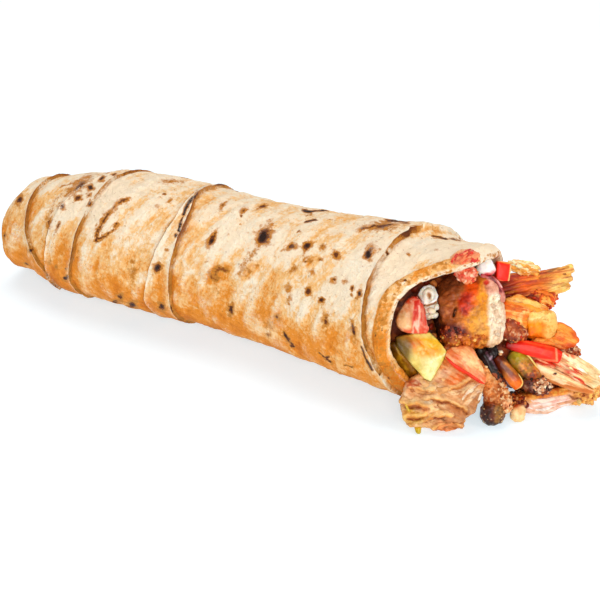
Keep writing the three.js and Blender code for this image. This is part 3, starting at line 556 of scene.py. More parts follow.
def from_line(across, down, line):
    """Distance in pixels from a line of points in the picture."""
    nearest = np.full(np.shape(across), 1e9)
    for (ax, ay), (bx, by) in zip(line, line[1:]):
        along = ((across - ax) * (bx - ax) + (down - ay) * (by - ay)) / ((bx - ax) ** 2 + (by - ay) ** 2)
        along = np.clip(along, 0, 1)
        off_across = across - ax - along * (bx - ax)
        off_down = down - ay - along * (by - ay)
        nearest = np.minimum(nearest, np.hypot(off_across, off_down))
    return nearest


def browning(points, out, x, angle, lip):
    """How warm, toasted, burnt and floured the bread is at each point, with painted shade, painted shadow
    lines and painted highlights along the layer edges, on the lower side and on the wrinkles.
    """
    across, down = picture(points)
    seen = fade(facing_camera(points, out), -0.06, 0.12)
    across = across + 1.0 * rough(points, 2.6, 2, seed=21)
    down = down + 1.0 * rough(points, 2.6, 2, seed=22)
    toast_and_shade = np.zeros(len(points))
    char_and_shadow = np.zeros(len(points))
    torn_edge = rough(points, 1.8, 3, seed=48)

    def mark(e, dark, shown):
        """A browned spot, burnt line or painted shadow line: e is 0 in its middle and 1 on its edge."""
        e = e * (1 + 0.45 * torn_edge)
        np.maximum(toast_and_shade, shown * np.clip(dark**0.6 * (1.25 - 0.5 * e), 0, 1), out=toast_and_shade)
        np.maximum(char_and_shadow, shown * np.clip(dark * (1.35 - 0.95 * e), 0, 1.3), out=char_and_shadow)

    for mx, my, length, width, tilt, dark in MARKS:
        mark(ellipse(across, down, (mx, my), (length, width), tilt), dark, seen)
    for line, width, dark in BURNT_AND_SHADOW_LINES:
        mark(from_line(across, down, line) / width, dark, seen)
    blister = np.zeros(len(points))
    for mx, my, length, width, tilt in BLISTERS:
        patch = fade(ellipse(across, down, (mx, my), (length, width), tilt), 1.25, 0.5)
        blister = np.maximum(blister, seen * patch)
    # marks where the photograph doesn't reach: the far side, the underside and the closed end
    rng = np.random.default_rng(11)
    uneven = 1 + 0.25 * rough(points, 2.6, 1, seed=25)
    for _ in range(150):
        mx, turn = rng.uniform(-206, 6), rng.uniform(-95, 245)
        size, long, dark = rng.uniform(1.0, 2.9), rng.uniform(1.0, 2.2), rng.uniform(0.35, 1.0)
        middle = on_roll(np.array(mx), np.array(float(turn)), radius_at(mx))
        apart = (points - middle) / [size, size * long, size * long]
        mark(np.linalg.norm(apart, axis=1) * uneven, dark, 1 - seen)
    lines = seam_lines(angle)
    below = np.zeros(len(points))
    shadow_under_edge = np.zeros(len(points))
    pale = np.zeros(len(points))
    quiet = 1 - 0.85 * fade(across, 412, 428) * seen
    # along each layer edge: painted shade on its low side, a thin painted shadow line in the gap under the
    # edge and a painted highlight on its rim
    for name, side in EDGE_SIDES.items():
        d = (x - lines[name]) * side
        below = np.maximum(below, np.where(d < 0, np.exp(d / 2.2), 0))
        shadow_under_edge = np.maximum(shadow_under_edge, np.where(d < 0.1, np.exp(np.minimum(d - 0.1, 0) / 0.42), 0))
        pale = np.maximum(pale, np.where(d > 0.1, np.exp(-(d - 0.1) / 1.1), 0))
    # on the flat of the closed end the lower side's browning and painted shade fade towards the middle
    spread = np.linalg.norm(points - on_roll(x, angle, 0 * x), axis=1) / radius_at(x)
    rise = np.sin(np.radians(angle)) * (1 - fade(x, -196, -206) * (1 - np.clip(spread, 0, 1)))
    patches = rough(points, (17, 12, 12), 3, seed=31)
    crease = wrinkles(points)
    streaks = rough(points @ SLANT, (2.4, 11, 11), 3, seed=33)
    # the lower side is painted warmer and more orange, partly the bread's toasting and partly painted shade;
    # the wrinkles' valleys are painted warmer as painted shade
    warm_and_shade = 0.8 - 0.7 * fade(rise, -0.45, 0.95) + 0.46 * patches + 0.18 * streaks - 0.34 * crease
    warm_and_shade = warm_and_shade + 0.24 * fade(rise, 0.1, -0.5) + 0.26 * fade(x, -150, -190)
    warm_and_shade = warm_and_shade + 0.3 * below - 0.45 * pale + 0.55 * blister
    panel = fade(x - lines["outer"], 0, 2) * fade(rise, -0.3, 0.5)
    warm_and_shade = warm_and_shade - 0.3 * panel
    below, shadow_under_edge = below * quiet, shadow_under_edge * quiet
    # the painted shadow lines and shade bands of the edges go into the browning and the burnt darkness as
    # painted shade
    toast_and_shade = np.maximum(toast_and_shade, shadow_under_edge * (0.8 + 0.45 * patches))
    toast_and_shade = np.maximum(toast_and_shade, 0.5 * below * (0.7 + 0.7 * streaks))
    toast_and_shade = np.maximum(toast_and_shade, blister * (0.45 + 0.9 * rough(points, 2.2, 3, seed=37)))
    char_and_shadow = np.maximum(char_and_shadow, shadow_under_edge * (0.26 + 0.7 * rough(points, 9, 2, seed=38)))
    toast_and_shade = np.maximum(toast_and_shade, 0.55 * fade(rise, -0.5, -0.85))
    # crests are whitened, more on the upper side, partly with flour and partly as painted highlight; the pale
    # rims add painted highlight
    crest = fade(0.9 * crease + 0.5 * rough(points, 8, 3, seed=41), 0.15, 0.75)
    flour_and_highlight = crest * (0.45 + 0.55 * fade(rise, -0.5, 0.6)) * (1 - np.clip(toast_and_shade, 0, 1)) + 0.75 * pale
    # the torn rim of the outer layer is dark and crisp along the top
    torn = fade(angle, 84, 98) * fade(angle, 150, 130) * fade(np.abs(x - lines["outer"] + 0.5), 1.5, 0.3)
    torn = torn * quiet * (0.7 + 0.7 * rough(points, (2.4, 3, 3), 3, seed=46))
    toast_and_shade = np.maximum(toast_and_shade, torn)
    char_and_shadow = np.maximum(char_and_shadow, torn * (0.35 + 0.9 * rough(points, 2.0, 2, seed=44)))
    # the lip is a toasted band of torn fibres with a pale line where it curls in
    band = fade(lip, 0.04, 0.3) * fade(lip, 0.99, 0.93) * fade(across, 468, 440)
    fibre = rough(points, (1.1, 1.5, 1.5), 3, seed=43)
    toast_and_shade = np.maximum(toast_and_shade, band * (0.36 + 0.5 * fibre))
    warm_and_shade = warm_and_shade + band * 0.75
    char_and_shadow = np.maximum(char_and_shadow, band * (0.02 + 0.66 * rough(points, (1.4, 3, 3), 2, seed=45)))
    inside = fade(lip, 0.93, 0.99)
    toast_and_shade = np.maximum(toast_and_shade, 0.6 * inside * (0.6 + 0.6 * fibre))
    curled = 0.55 * fade(lip, 0.8, 0.9) * fade(lip, 0.99, 0.92)
    flour_and_highlight = np.clip(flour_and_highlight, 0, 1) * (1 - fade(lip, 0, 0.3)) + curled
    smear = 1.1 * fade(ellipse(across, down, (465, 257), (17, 8), 14), 1.2, 0.45)
    smear = seen * smear * (0.55 + 0.9 * rough(points @ SLANT.T, (5, 1.0, 1.0), 3, seed=47))
    return {"warmth_and_shade": warm_and_shade, "toast_and_shade": toast_and_shade, "char_and_shadow": char_and_shadow, "flour_and_highlight": flour_and_highlight, "stain": smear}


def bread_paint():
    paint = Paint("toasted flatbread", Specular_IOR_Level=0.18, Subsurface_Weight=0.06,
                  Subsurface_Scale=0.0015, Subsurface_Radius=(1.0, 0.6, 0.35))
    warmth_and_shade, toast_and_shade, char_and_shadow, flour_and_highlight, stain = map(paint.value, ("warmth_and_shade", "toast_and_shade", "char_and_shadow", "flour_and_highlight", "stain"))
    mottle = paint.noise(2.0, 4, 0.6)
    fleck = paint.noise(0.8, 3, 0.6)
    streak = paint.noise(2.6, 4, 0.62, where=paint.drawn_out(SLANT, (0.28, 1.3, 1.3)))
    crinkle = paint.noise(3.4, 4, 0.6, distortion=0.6)
    crinkled = (1 - paint.maths("ABSOLUTE", crinkle - 0.5) * 9).at_least(0.0)
    unlike = (streak - 0.5) * 0.8 + (mottle - 0.5) * 1.2 + (fleck - 0.5) * 0.6 + crinkled * 0.16 - 0.09
    tone = warmth_and_shade + unlike
    colour = paint.mix(paint.between(tone, 0.0, 0.55), "#fde8cb", "#f7c27e")
    colour = paint.mix(paint.between(tone, 0.45, 1.0), colour, "#ea902c")
    colour = paint.mix(paint.between(tone, 0.95, 1.6), colour, "#d27312")
    # the browned and burnt colours here also carry the painted shade and painted shadow lines along the layer
    # edges
    browned_and_shaded = toast_and_shade + (mottle - 0.5) * 0.7 + (fleck - 0.5) * 0.5
    colour = paint.mix(paint.between(browned_and_shaded, 0.3, 0.62), colour, "#c9812f")
    colour = paint.mix(paint.between(browned_and_shaded, 0.68, 0.98), colour, "#8f4c17")
    burnt_and_shadow = char_and_shadow + (fleck - 0.5) * 0.5
    colour = paint.mix(paint.between(burnt_and_shadow, 0.4, 0.55), colour, "#6b3512")
    colour = paint.mix(paint.between(burnt_and_shadow, 0.68, 0.9), colour, "#2a130a")
    # flour dust and painted highlight on the wrinkle crests and rims
    flour_dust_and_highlight = paint.between(fleck, 0.4, 0.62) * flour_and_highlight
    colour = paint.mix(flour_dust_and_highlight * 0.85, colour, "#fff4df")
    colour = paint.mix(paint.between(stain + (fleck - 0.5) * 0.6, 0.25, 0.75) * 0.8, colour, "#d9583a")
    speck = paint.between(paint.noise(1.5, 2, 0.5), 0.68, 0.72)
    colour = paint.mix(speck * 0.45, colour, "#a4682f")
    grit = paint.noise(0.5, 2, 0.6)
    height = mottle * 0.7 + grit * 0.3 + streak * 0.5 - char_and_shadow * 0.4 - crinkled * 0.35
    roughness = 0.74 + (grit - 0.5) * 0.2 - toast_and_shade * 0.12
    return paint.finish(Base_Color=colour, Roughness=roughness, Normal=paint.bump(height, 0.9))


def bread():
    even = -90 + 360 * np.arange(COLUMNS) / COLUMNS
    angle = even - np.degrees(CROWDING) * np.sin(np.radians(even - SHOWN_SIDE))
    rows = []
    lip_rows = []

    def add(x, places, lip=0.0):
        rows.append((x + 0 * angle, places))
        lip_rows.append(np.full(COLUMNS, lip) if np.isscalar(lip) else lip)

    # the tucked end: pleats that wind in to a dimple
    tip_radius = radius_at(ROLL_START)
    for part in (0.08, 0.16, 0.25, 0.34, 0.43, 0.52, 0.61, 0.69, 0.77, 0.84, 0.9, 0.95, 0.985):
        turn = np.mod((angle + 190 * part) * TUCK_PLEATS / 360 + 0.35 * np.sin(np.radians(angle)), 1)
        pleat = 1.5 * (turn - fade(turn, 0.86, 1.0)) * math.sin(math.pi * min(part * 1.15, 1)) ** 0.6
        shoulder = 4.4 * np.clip((part - 0.7) / 0.3, 0, 1) ** 2.2
        x = TUCKED_END + TUCK_DIMPLE * (1 - part) ** 0.8 + shoulder - pleat
        add(x, on_roll(x, angle, tip_radius * part * (1 + 0.03 * np.sin(np.radians(3 * angle)))))
    stations = bread_stations(angle)
    plain = on_roll(stations, angle[None, :], radius_at(stations))
    height = bread_relief(stations, angle[None, :] + 0 * stations, plain)
    lip_x = curve(LIP, angle, 360)
    for x, rise in zip(stations, height):
        near = fade(lip_x - x, 7.5, 5.2)
        ring = on_roll(x, angle, LIP_NOISE_RADIUS)
        crimp = near * (0.55 + 0.4 * rough(ring, 4.5, 2, seed=14) + 0.25 * rough(ring, 1.8, 2, seed=17))
        add(x, on_roll(x, angle, radius_at(x) + rise + crimp), near * 0.4)
    profile = [(i, back) for i, (back, _) in enumerate(LIP_PROFILE)]
    depth = [(i, inwards) for i, (_, inwards) in enumerate(LIP_PROFILE)]
    edge_rise = height[-1]
    for step in np.linspace(0.25, len(LIP_PROFILE) - 1, 17):
        wander = rough(on_roll(lip_x, angle, LIP_NOISE_RADIUS), 5.5, 3, seed=15)
        x = lip_x + curve(profile, step) + 0.5 * wander
        inwards = float(curve(depth, step))
        ring = on_roll(x, angle, radius_at(x) + inwards)
        crimp = 0.55 * (1 - step / 5) + 0.5 * rough(ring, 4.5, 2, seed=14)
        crimp = crimp + 0.3 * rough(ring, 1.8, 2, seed=17)
        rise = edge_rise * (1 - step / 5) + crimp
        add(x, on_roll(x, angle, radius_at(x) + inwards + rise), 0.4 + 0.6 * fade(-inwards, 0.2, 2.2))
    for k, x in enumerate([-14, -26, -60, -110, -150, -178]):
        back = lip_x - 6 - k if k == 0 else x
        ring = on_roll(back + 0 * angle, angle, radius_at(back) - WALL)
        ring[:, 2] = np.maximum(ring[:, 2], WALL - 1.6)
        add(back, ring, 0.6 if k < 2 else 0.0)
    x = np.concatenate([r[0] for r in rows])
    tip, root = [-213.0, *on_roll(ROLL_START, 0.0, 0.0)[1:]], [-186.0, 0, 26]
    points = np.concatenate([r[1] for r in rows] + [[tip], [root]])
    x = np.concatenate([x, [tip[0], root[0]]])
    turn = np.concatenate([np.tile(angle, len(rows)), [0, 0]])
    lip = np.concatenate(lip_rows + [[0.0, 0.0]])
    ring = np.arange(COLUMNS)
    after = (ring + 1) % COLUMNS
    start = np.arange(len(rows) - 1)[:, None] * COLUMNS
    corners = [start + ring, start + COLUMNS + ring, start + COLUMNS + after, start + after]
    quads = np.stack(corners, -1).reshape(-1, 4)
    last = (len(rows) - 1) * COLUMNS
    fans = [(len(points) - 2, i, j) for i, j in zip(ring, after)]
    fans += [(len(points) - 1, last + j, last + i) for i, j in zip(ring, after)]
    out = normals_of(points, quads)
    values = browning(points, out, x, turn, lip)
    faces = quads.tolist() + [tuple(int(i) for i in fan) for fan in fans]
    piece_from("flatbread_skin", points, faces, bread_paint(), "flatbread", values)


# ------------------------------------------------------------------ filling: shared tools


HIDDEN_COST = 40  # pixels by which a point that faces away loses to one that shows


class Surface:
    """The points of a filling piece, where they show in the picture, and masks over them."""

    def __init__(self, points, out, ragged=0.5):
        self.points = points
        self.out = out
        self.front = fade(facing_camera(points, out), -0.05, 0.25)
        self.plain_across, self.plain_down = picture(points)
        self.across, self.down = self.plain_across, self.plain_down
        self.across = self.across + 2.4 * ragged * rough(points, 2.2, 2, seed=81)
        self.down = self.down + 2.4 * ragged * rough(points, 2.2, 2, seed=82)

    def rough(self, size, octaves=3, seed=0):
        return rough(self.points, size, octaves, seed)

    def fibres(self, direction, length, width, seed):
        """Noise drawn out along a direction of the picture."""
        axes = np.stack(picture_axes(direction), 1)
        return rough(self.points @ axes, (length, width, width * 2), 3, seed)

    def blob(self, across, down, half_across, half_down, tilt=0, soft=0.45):
        e = ellipse(self.across, self.down, (across, down), (half_across, half_down), tilt)
        return fade(e, 1 + soft, 1 - soft)

    def line(self, points, width, soft=0.6):
        return fade(from_line(self.across, self.down, points), width * (1 + soft), width * (1 - soft))

    def plain_mask(self, across, down, half_across, half_down):
        """1 inside an upright ellipse of the picture and 0 outside it."""
        return np.hypot((self.plain_across - across) / half_across, (self.plain_down - down) / half_down) < 1

    def layers(self, direction, deep, warp, seed):
        """0 at the foot and 1 at the rim of layers that are stacked along a direction of the picture."""
        height = self.points @ picture_axes(direction)[0]
        return np.mod((height + warp * self.rough(6, 3, seed)) / deep, 1)

    def right_of(self, start, end):
        return fade(self.across, start, end)

    def left_of(self, start, end):
        return 1 - self.right_of(start, end)

    def below(self, start, end):
        return fade(self.down, start, end)

    def at(self, across, down):
        """The shown point of the surface at a place in the picture, and its outward direction."""
        apart = np.hypot(self.plain_across - across, self.plain_down - down)
        i = np.argmin(apart + HIDDEN_COST * (1 - self.front))
        return self.points[i], self.out[i]

    def laid(self, line, width, thick, sink, seed, wobble):
        """A flat strip that lies on the surface along a line of the picture."""
        spots = [self.at(*spot) for spot in line]
        lean = np.mean([out for _, out in spots], axis=0)
        lean /= np.linalg.norm(lean)
        height = (0.5 - sink) * float(np.mean(thick))
        path = [place + out * height for place, out in spots]
        return tube(path, width, thick, lean, 8, 12, seed, wobble)

    def painted(self, base, layers, mottle=0.2):
        """Colours from a base and (amount, colour) layers, each over those before it."""
        colours = np.tile(linear(base), (len(self.points), 1))
        for amount, code in layers:
            colours = tinted(colours, amount, code)
        light = 1 + mottle * self.rough(3.2, 2, seed=91) + 0.6 * mottle * self.rough(1.0, 2, seed=92)
        return np.clip(richer(colours, RICHNESS) * light[:, None], 0.0, 1.0)


# For each finish: roughness, wetness, pore size and depth of relief in millimetres, glow, the tone of
# its blotches and, for a fibrous one, the direction, length and width of its fibres.
FINISHES = {
    "seared chunk": (0.42, 0.22, 0.8, 0.4, 0.05, "#b98458", None),
    "cooked cucumber": (0.3, 0.2, 1.1, 0.16, 0.2, "#e3cf96", None),
    "pink flesh": (0.32, 0.2, 1.0, 0.18, 0.2, "#e9b9a0", None),
    "tomato flesh": (0.34, 0.2, 0.9, 0.2, 0.2, "#e8b088", None),
    "roast slice": (0.5, 0.1, 0.6, 0.35, 0.08, "#c89a70", (-25, 6.0, 0.6)),
    "red pepper": (0.34, 0.12, 1.2, 0.08, 0.08, "#e89878", None),
    "green pepper": (0.32, 0.2, 1.0, 0.2, 0.1, "#c8a868", None),
    "carrot": (0.3, 0.25, 0.9, 0.08, 0.1, "#e0a070", None),
    "aubergine skin": (0.36, 0.12, 1.5, 0.12, 0.0, "#8a6a58", None),
    "crumb coating": (0.62, 0.05, 0.45, 0.4, 0.04, "#b9875c", None),
    "mushroom": (0.38, 0.14, 0.9, 0.25, 0.02, "#a9845c", None),
    "cream": (0.4, 0.12, 0.6, 0.16, 0.15, "#e8cfae", None),
    "pale strip": (0.45, 0.1, 0.5, 0.22, 0.1, "#d8b483", (-22, 6.0, 0.5)),
    "pulled fibres": (0.45, 0.12, 0.5, 0.25, 0.08, "#c98f58", (8, 7.0, 0.45)),
    "yellow flesh": (0.4, 0.12, 0.7, 0.2, 0.12, "#e0b070", None),
    "crisp crust": (0.5, 0.12, 0.6, 0.35, 0.08, "#c98050", None),
    "sour cream": (0.26, 0.25, 2.2, 0.08, 0.25, "#f3ece4", None),
    "onion skin": (0.3, 0.25, 1.2, 0.1, 0.1, "#c08088", None),
    "pink sauce": (0.4, 0.15, 0.5, 0.25, 0.15, "#e0908a", None),
    "crumbled white cheese": (0.5, 0.06, 0.6, 0.2, 0.2, "#f0dfc4", None),
    "soaked fold": (0.4, 0.15, 0.8, 0.25, 0.08, "#b08a48", None),
    "sauced crumbs": (0.42, 0.15, 0.5, 0.35, 0.08, "#b87850", None),
    "sauced strips": (0.34, 0.22, 0.6, 0.25, 0.1, "#d08a60", (-24, 5.0, 0.45)),
    "packed filling and gap shade": (0.5, 0.08, 0.9, 0.4, 0.03, "#9a6a48", None),
}
FOOD = {}
RICHNESS = 1.6


def food_paint(name):
    """A cooked or cut surface: its colour comes from the piece, its fine detail from noise."""
    if name in FOOD:
        return FOOD[name]
    roughness, wet, pore, depth, glow, blotch, fibre = FINISHES[name]
    paint = Paint(name, Coat_Weight=wet, Coat_Roughness=0.12, Specular_IOR_Level=0.22,
                  Subsurface_Weight=glow, Subsurface_Scale=0.0025, Subsurface_Radius=(1.0, 0.45, 0.2))
    broad = paint.noise(2.6, 4, 0.6)
    if fibre:
        direction, length, width = fibre
        axes = np.stack(picture_axes(direction), 1)
        small = paint.noise(width, 3, 0.6, where=paint.drawn_out(axes, (length / width, 1, 1)))
    else:
        small = paint.noise(pore, 3, 0.6)
    grit = paint.noise(pore * 0.4, 2, 0.6)
    colour = paint.mix(paint.between(broad, 0.42, 0.72) * 0.5, paint.colour("tint"), blotch, "MULTIPLY")
    colour = paint.mix(paint.between(small, 0.5, 0.78) * 0.45, colour, blotch, "MULTIPLY")
    colour = paint.mix(paint.between(small, 0.48, 0.25) * 0.3, colour, "#ffe9cc", "SOFT_LIGHT")
    height = small * 0.7 + grit * 0.3
    uneven = roughness + (grit - 0.5) * 0.25
    FOOD[name] = paint.finish(Base_Color=colour, Roughness=uneven, Normal=paint.bump(height, depth))
    return FOOD[name]


def tube(path, width, thick, facing, sides, steps, seed, wobble):
    """A closed flattened strand along a path. width and thick may be lists along it."""
    path = np.asarray(path, float)
    place = np.linspace(0, 1, len(path))
    t = np.linspace(0, 1, steps)
    middle = np.stack([curve(list(zip(place, path[:, i])), t) for i in range(3)], -1)
    forward = np.gradient(middle, axis=0)
    forward /= np.linalg.norm(forward, axis=1)[:, None]
    across = np.cross(facing, forward)
    across /= np.linalg.norm(across, axis=1)[:, None]
    out = np.cross(forward, across)

    def level(v):
        return np.full(steps, v) if np.isscalar(v) else curve(list(zip(np.linspace(0, 1, len(v)), v)), t)

    end = 0.35 + 0.65 * np.sqrt(np.clip(1 - np.abs(2 * t - 1) ** 14, 0, 1))
    angle = 2 * np.pi * np.arange(sides) / sides
    w = (level(width) / 2 * end)[:, None] * np.cos(angle)
    h = (level(thick) / 2 * end)[:, None] * np.sin(angle)
    points = middle[:, None] + across[:, None] * w[..., None] + out[:, None] * h[..., None]
    points = points.reshape(-1, 3)
    wave = wobble * rough(points, 1.5, 2, seed)[:, None]
    points = points + wave * (points - np.repeat(middle, sides, 0)) * 3
    ring = np.arange(sides)
    after = (ring + 1) % sides
    start = np.arange(steps - 1)[:, None] * sides
    corners = [start + ring, start + after, start + sides + after, start + sides + ring]
    quads = np.stack(corners, -1).reshape(-1, 4)
    last = (steps - 1) * sides
    caps = [tuple(int(i) for i in ring[::-1]), tuple(int(i) + last for i in ring)]
    return points, quads.tolist() + caps


def lump(middle, size, seed):
    """A small uneven lump from a twice split icosahedron."""
    points, faces = ICOSPHERE
    shape = 1 + 0.42 * rough(points * 1.3 + seed * 3.1, 1.0, 2, seed)
    turned = points @ TURN if seed % 2 else points
    return turned * shape[:, None] * np.asarray(size) / 2 + middle, faces


def icosphere():
    bm = bmesh.new()
    bmesh.ops.create_icosphere(bm, subdivisions=2, radius=1.0)
    points = np.array([v.co[:] for v in bm.verts])
    faces = [tuple(v.index for v in f.verts) for f in bm.faces]
    bm.free()
    return points, faces


ICOSPHERE = icosphere()


def gathered(parts):
    """Several (points, faces) meshes as one."""
    places, faces, start = [], [], 0
    for points, some in parts:
        places.append(points)
        faces.extend(tuple(i + start for i in face) for face in some)
        start += len(points)
    return np.concatenate(places), faces


def crumbs(surface, chance, count, sizes, seed, sink, codes, tone_seed):
    """Lumps that sit on a surface where chance is high, each in one of several colours."""
    rng = np.random.default_rng(seed)
    odds = np.clip(chance, 0, None)
    picks = rng.choice(len(surface.points), size=count, replace=False, p=odds / odds.sum())
    made = []
    for k, i in enumerate(picks):
        size = rng.uniform(*sizes)
        shape = size * rng.uniform(0.55, 1.35, 3)
        middle = surface.points[i] + surface.out[i] * size * (0.5 - sink)
        made.append(lump(middle, shape, seed * 100 + k))
    return made, coloured_lumps(made, codes, tone_seed)


def coloured_lumps(parts, codes, seed):
    """One of several colours for each lump."""
    rng = np.random.default_rng(seed)
    colours = []
    for points, _ in parts:
        code = codes[rng.integers(len(codes))]
        colours.append(np.tile(linear(code) * rng.uniform(0.75, 1.15), (len(points), 1)))
    return richer(np.clip(np.concatenate(colours), 0, 1), RICHNESS)


def bits_at(surface, spots, lift, first, smaller, thick, seed, codes, tone_seed):
    """Lumps at given places of the picture, each a little shorter than the one before."""
    made = []
    for k, spot in enumerate(spots):
        place, out = surface.at(*spot)
        made.append(lump(place + lift * out, (first - smaller * k, *thick), seed + k))
    return made, coloured_lumps(made, codes, tone_seed)


def laid_set(surface, strips, seed, sink=0.4, wobble=0.2):
    """Strips laid on a surface, each given by its line in the picture, width, thickness and colour."""
    parts, colours = [], []
    for k, (line, width, thick, code) in enumerate(strips):
        points, faces = surface.laid(line, width, thick, sink, seed + k, wobble)
        light = 1 + 0.3 * rough(points, 1.5, 2, seed + k)
        parts.append((points, faces))
        colours.append(linear(code) * light[:, None])
    return parts, richer(np.clip(np.concatenate(colours), 0, 1), RICHNESS)


def together(*sets):
    """Parts and colours of several added sets as one."""
    return sum((parts for parts, _ in sets), []), np.concatenate([colours for _, colours in sets])


def filling(node, finish, relief, look, fineness=0.36, melt=2, ragged=0.5, extra=None, swell=0.3):
    """A filling piece: the CAD solid made fine, given its relief, its colours and any added parts."""
    points, faces, edges = fine_copy(node, fineness, melt)
    first = Surface(points, normals_of(points, faces), ragged)
    points = points + first.out * (relief(first) + swell)[:, None]
    surface = Surface(points, normals_of(points, faces), ragged)
    colours = look(surface)
    faces = faces.tolist()
    if extra:
        parts, extra_colours = extra(surface)
        points, faces = gathered([(points, faces)] + parts)
        colours = np.concatenate([colours, extra_colours])
    piece_from(node + "_dressed", points, faces, food_paint(finish), node, colours={"tint": colours})


def standing(at, face, spin=0.0):
    """A piece's own frame: x along it, y across it and z out of its shown face."""
    a, e = math.radians(face[0]), math.radians(face[1])
    out = np.array([math.sin(a) * math.cos(e), -math.cos(a) * math.cos(e), math.sin(e)])
    flat = np.array([math.cos(a), math.sin(a), 0.0])
    c, s = math.cos(math.radians(spin)), math.sin(math.radians(spin))
    side = flat * c + np.cross(out, flat) * s
    axes = np.stack([side, np.cross(out, side), out])
    return lambda points: np.asarray(at, float) + np.asarray(points, float) @ axes


FRONT = (30, 29)


# ------------------------------------------------------------------ filling: piece by piece
# Places such as (459, 310) are in the picture's frame, across and down.


def seared_chunk():
    hollow = (434, 322, 8, 15, 12)

    def relief(s):
        pores = pebbles(s.points, 2.0, 103)
        crust = s.below(331, 341) * s.right_of(440, 462)
        cut = s.right_of(485, 492)
        return (
            0.55 * s.rough(6, 3, 101) + 0.3 * s.rough(1.7, 2, 102) - 0.25 * fade(pores, 0.34, 0.05)
            + crust * (0.5 + 1.0 * s.rough(2.0, 3, 104)) + cut * (0.3 + 0.6 * s.rough(2.6, 3, 108))
            - 1.9 * s.front * s.blob(454.5, 313.5, 1.5, 5.5, -12, 0.3) - 1.3 * s.front * s.blob(*hollow)
            - 0.6 * s.front * s.line([(488, 283), (489, 305), (486, 330), (480, 340)], 1.2)
        )

    def look(s):
        specks = fade(s.rough(1.2, 2, 105), 0.15, 0.4)
        scorched = fade(s.rough(2.4, 3, 106), -0.15, 0.25)
        bright = fade(s.rough(1.6, 2, 109), 0.05, 0.4)
        crusty = s.below(333, 340) * s.right_of(448, 464) * s.left_of(488, 494)
        return s.painted("#cf8f45", [
            (s.blob(480, 318, 15, 18, 0, 0.3), "#eeb650"), (s.blob(484, 326, 9, 10), "#f2c270"),
            (s.blob(482, 292, 6, 14, 8, 0.4), "#f5b533"), (s.left_of(452, 463), "#b07340"),
            (s.blob(455, 283, 17, 10, 0, 0.4) * 0.9, "#8a5a38"),
            (s.left_of(450, 464) * scorched * 0.45, "#6a422a"),
            (s.blob(449, 308, 8, 8, 0, 0.5) * bright * 0.8, "#c99058"),
            (s.blob(472, 286, 7, 10, 10, 0.4), "#f0801a"), (s.blob(466, 303, 8, 12, -8, 0.35), "#d0581c"),
            (s.blob(466, 305, 7, 10) * fade(s.rough(1.5, 2, 107), 0.0, 0.3) * 0.8, "#9c3410"),
            (s.blob(475, 302, 4, 4) * 0.7, "#f2912c"), (s.blob(466, 279, 18, 4, -4, 0.4) * 0.7, "#93502a"),
            # the dark lower left is painted shadow under the chunk, and the near-black hollow below is
            # painted shade
            (s.blob(452, 332, 17, 8, -10, 0.35), "#5a2211"),
            (s.blob(452, 332, 17, 8, -10, 0.35) * bright * 0.8, "#b5602c"), (s.blob(*hollow), "#1a0c08"),
            (s.left_of(436, 441), "#2a170e"), (crusty * 0.8, "#d98f38"),
            (crusty * specks * 0.7, "#8f4a1c"), (crusty * bright * 0.7, "#f3bd5e"),
            (s.right_of(486, 491), "#fff3e0"), (s.blob(492, 287, 8, 8, 30, 0.4) * 0.75, "#f0b8a6"),
            (s.blob(487, 283, 3, 3), "#d9593c"), (s.right_of(487, 492) * specks * 0.3, "#e6bc94"),
            (s.right_of(487, 492) * s.below(334, 346) * 0.4, "#e8b06a"),
            # the near-black slit is painted shade in the dented cut
            (s.front * s.blob(454.5, 313.5, 1.3, 4.6, -12, 0.3), "#120806"),
            (specks * s.left_of(484, 490) * 0.3, "#7a4018"),
        ], 0.24)

    def extra(s):
        crust = s.front * s.plain_mask(464, 340, 30, 6) + 1e-3 * s.front
        foot = s.front * s.plain_mask(452, 333, 13, 6)
        face = s.front * s.plain_mask(496, 318, 5, 24)
        golden = ["#dd9640", "#f0bd6a", "#c07a34", "#a05c24", "#f3cc88"]
        dark = ["#6a2c18", "#8f4420", "#c47440", "#3c180e", "#e0a078"]
        return together(
            crumbs(s, crust, 46, (0.5, 1.7), 110, 0.5, golden, 113),
            crumbs(s, foot, 30, (0.5, 1.6), 111, 0.45, dark, 114),
            crumbs(s, face, 40, (0.6, 2.2), 112, 0.62, ["#fff4e4", "#fdeedb", "#f9e4cc"], 115),
        )

    filling("seared_chunk", "seared chunk", relief, look, fineness=0.42, melt=3, ragged=0.8,
            extra=extra)


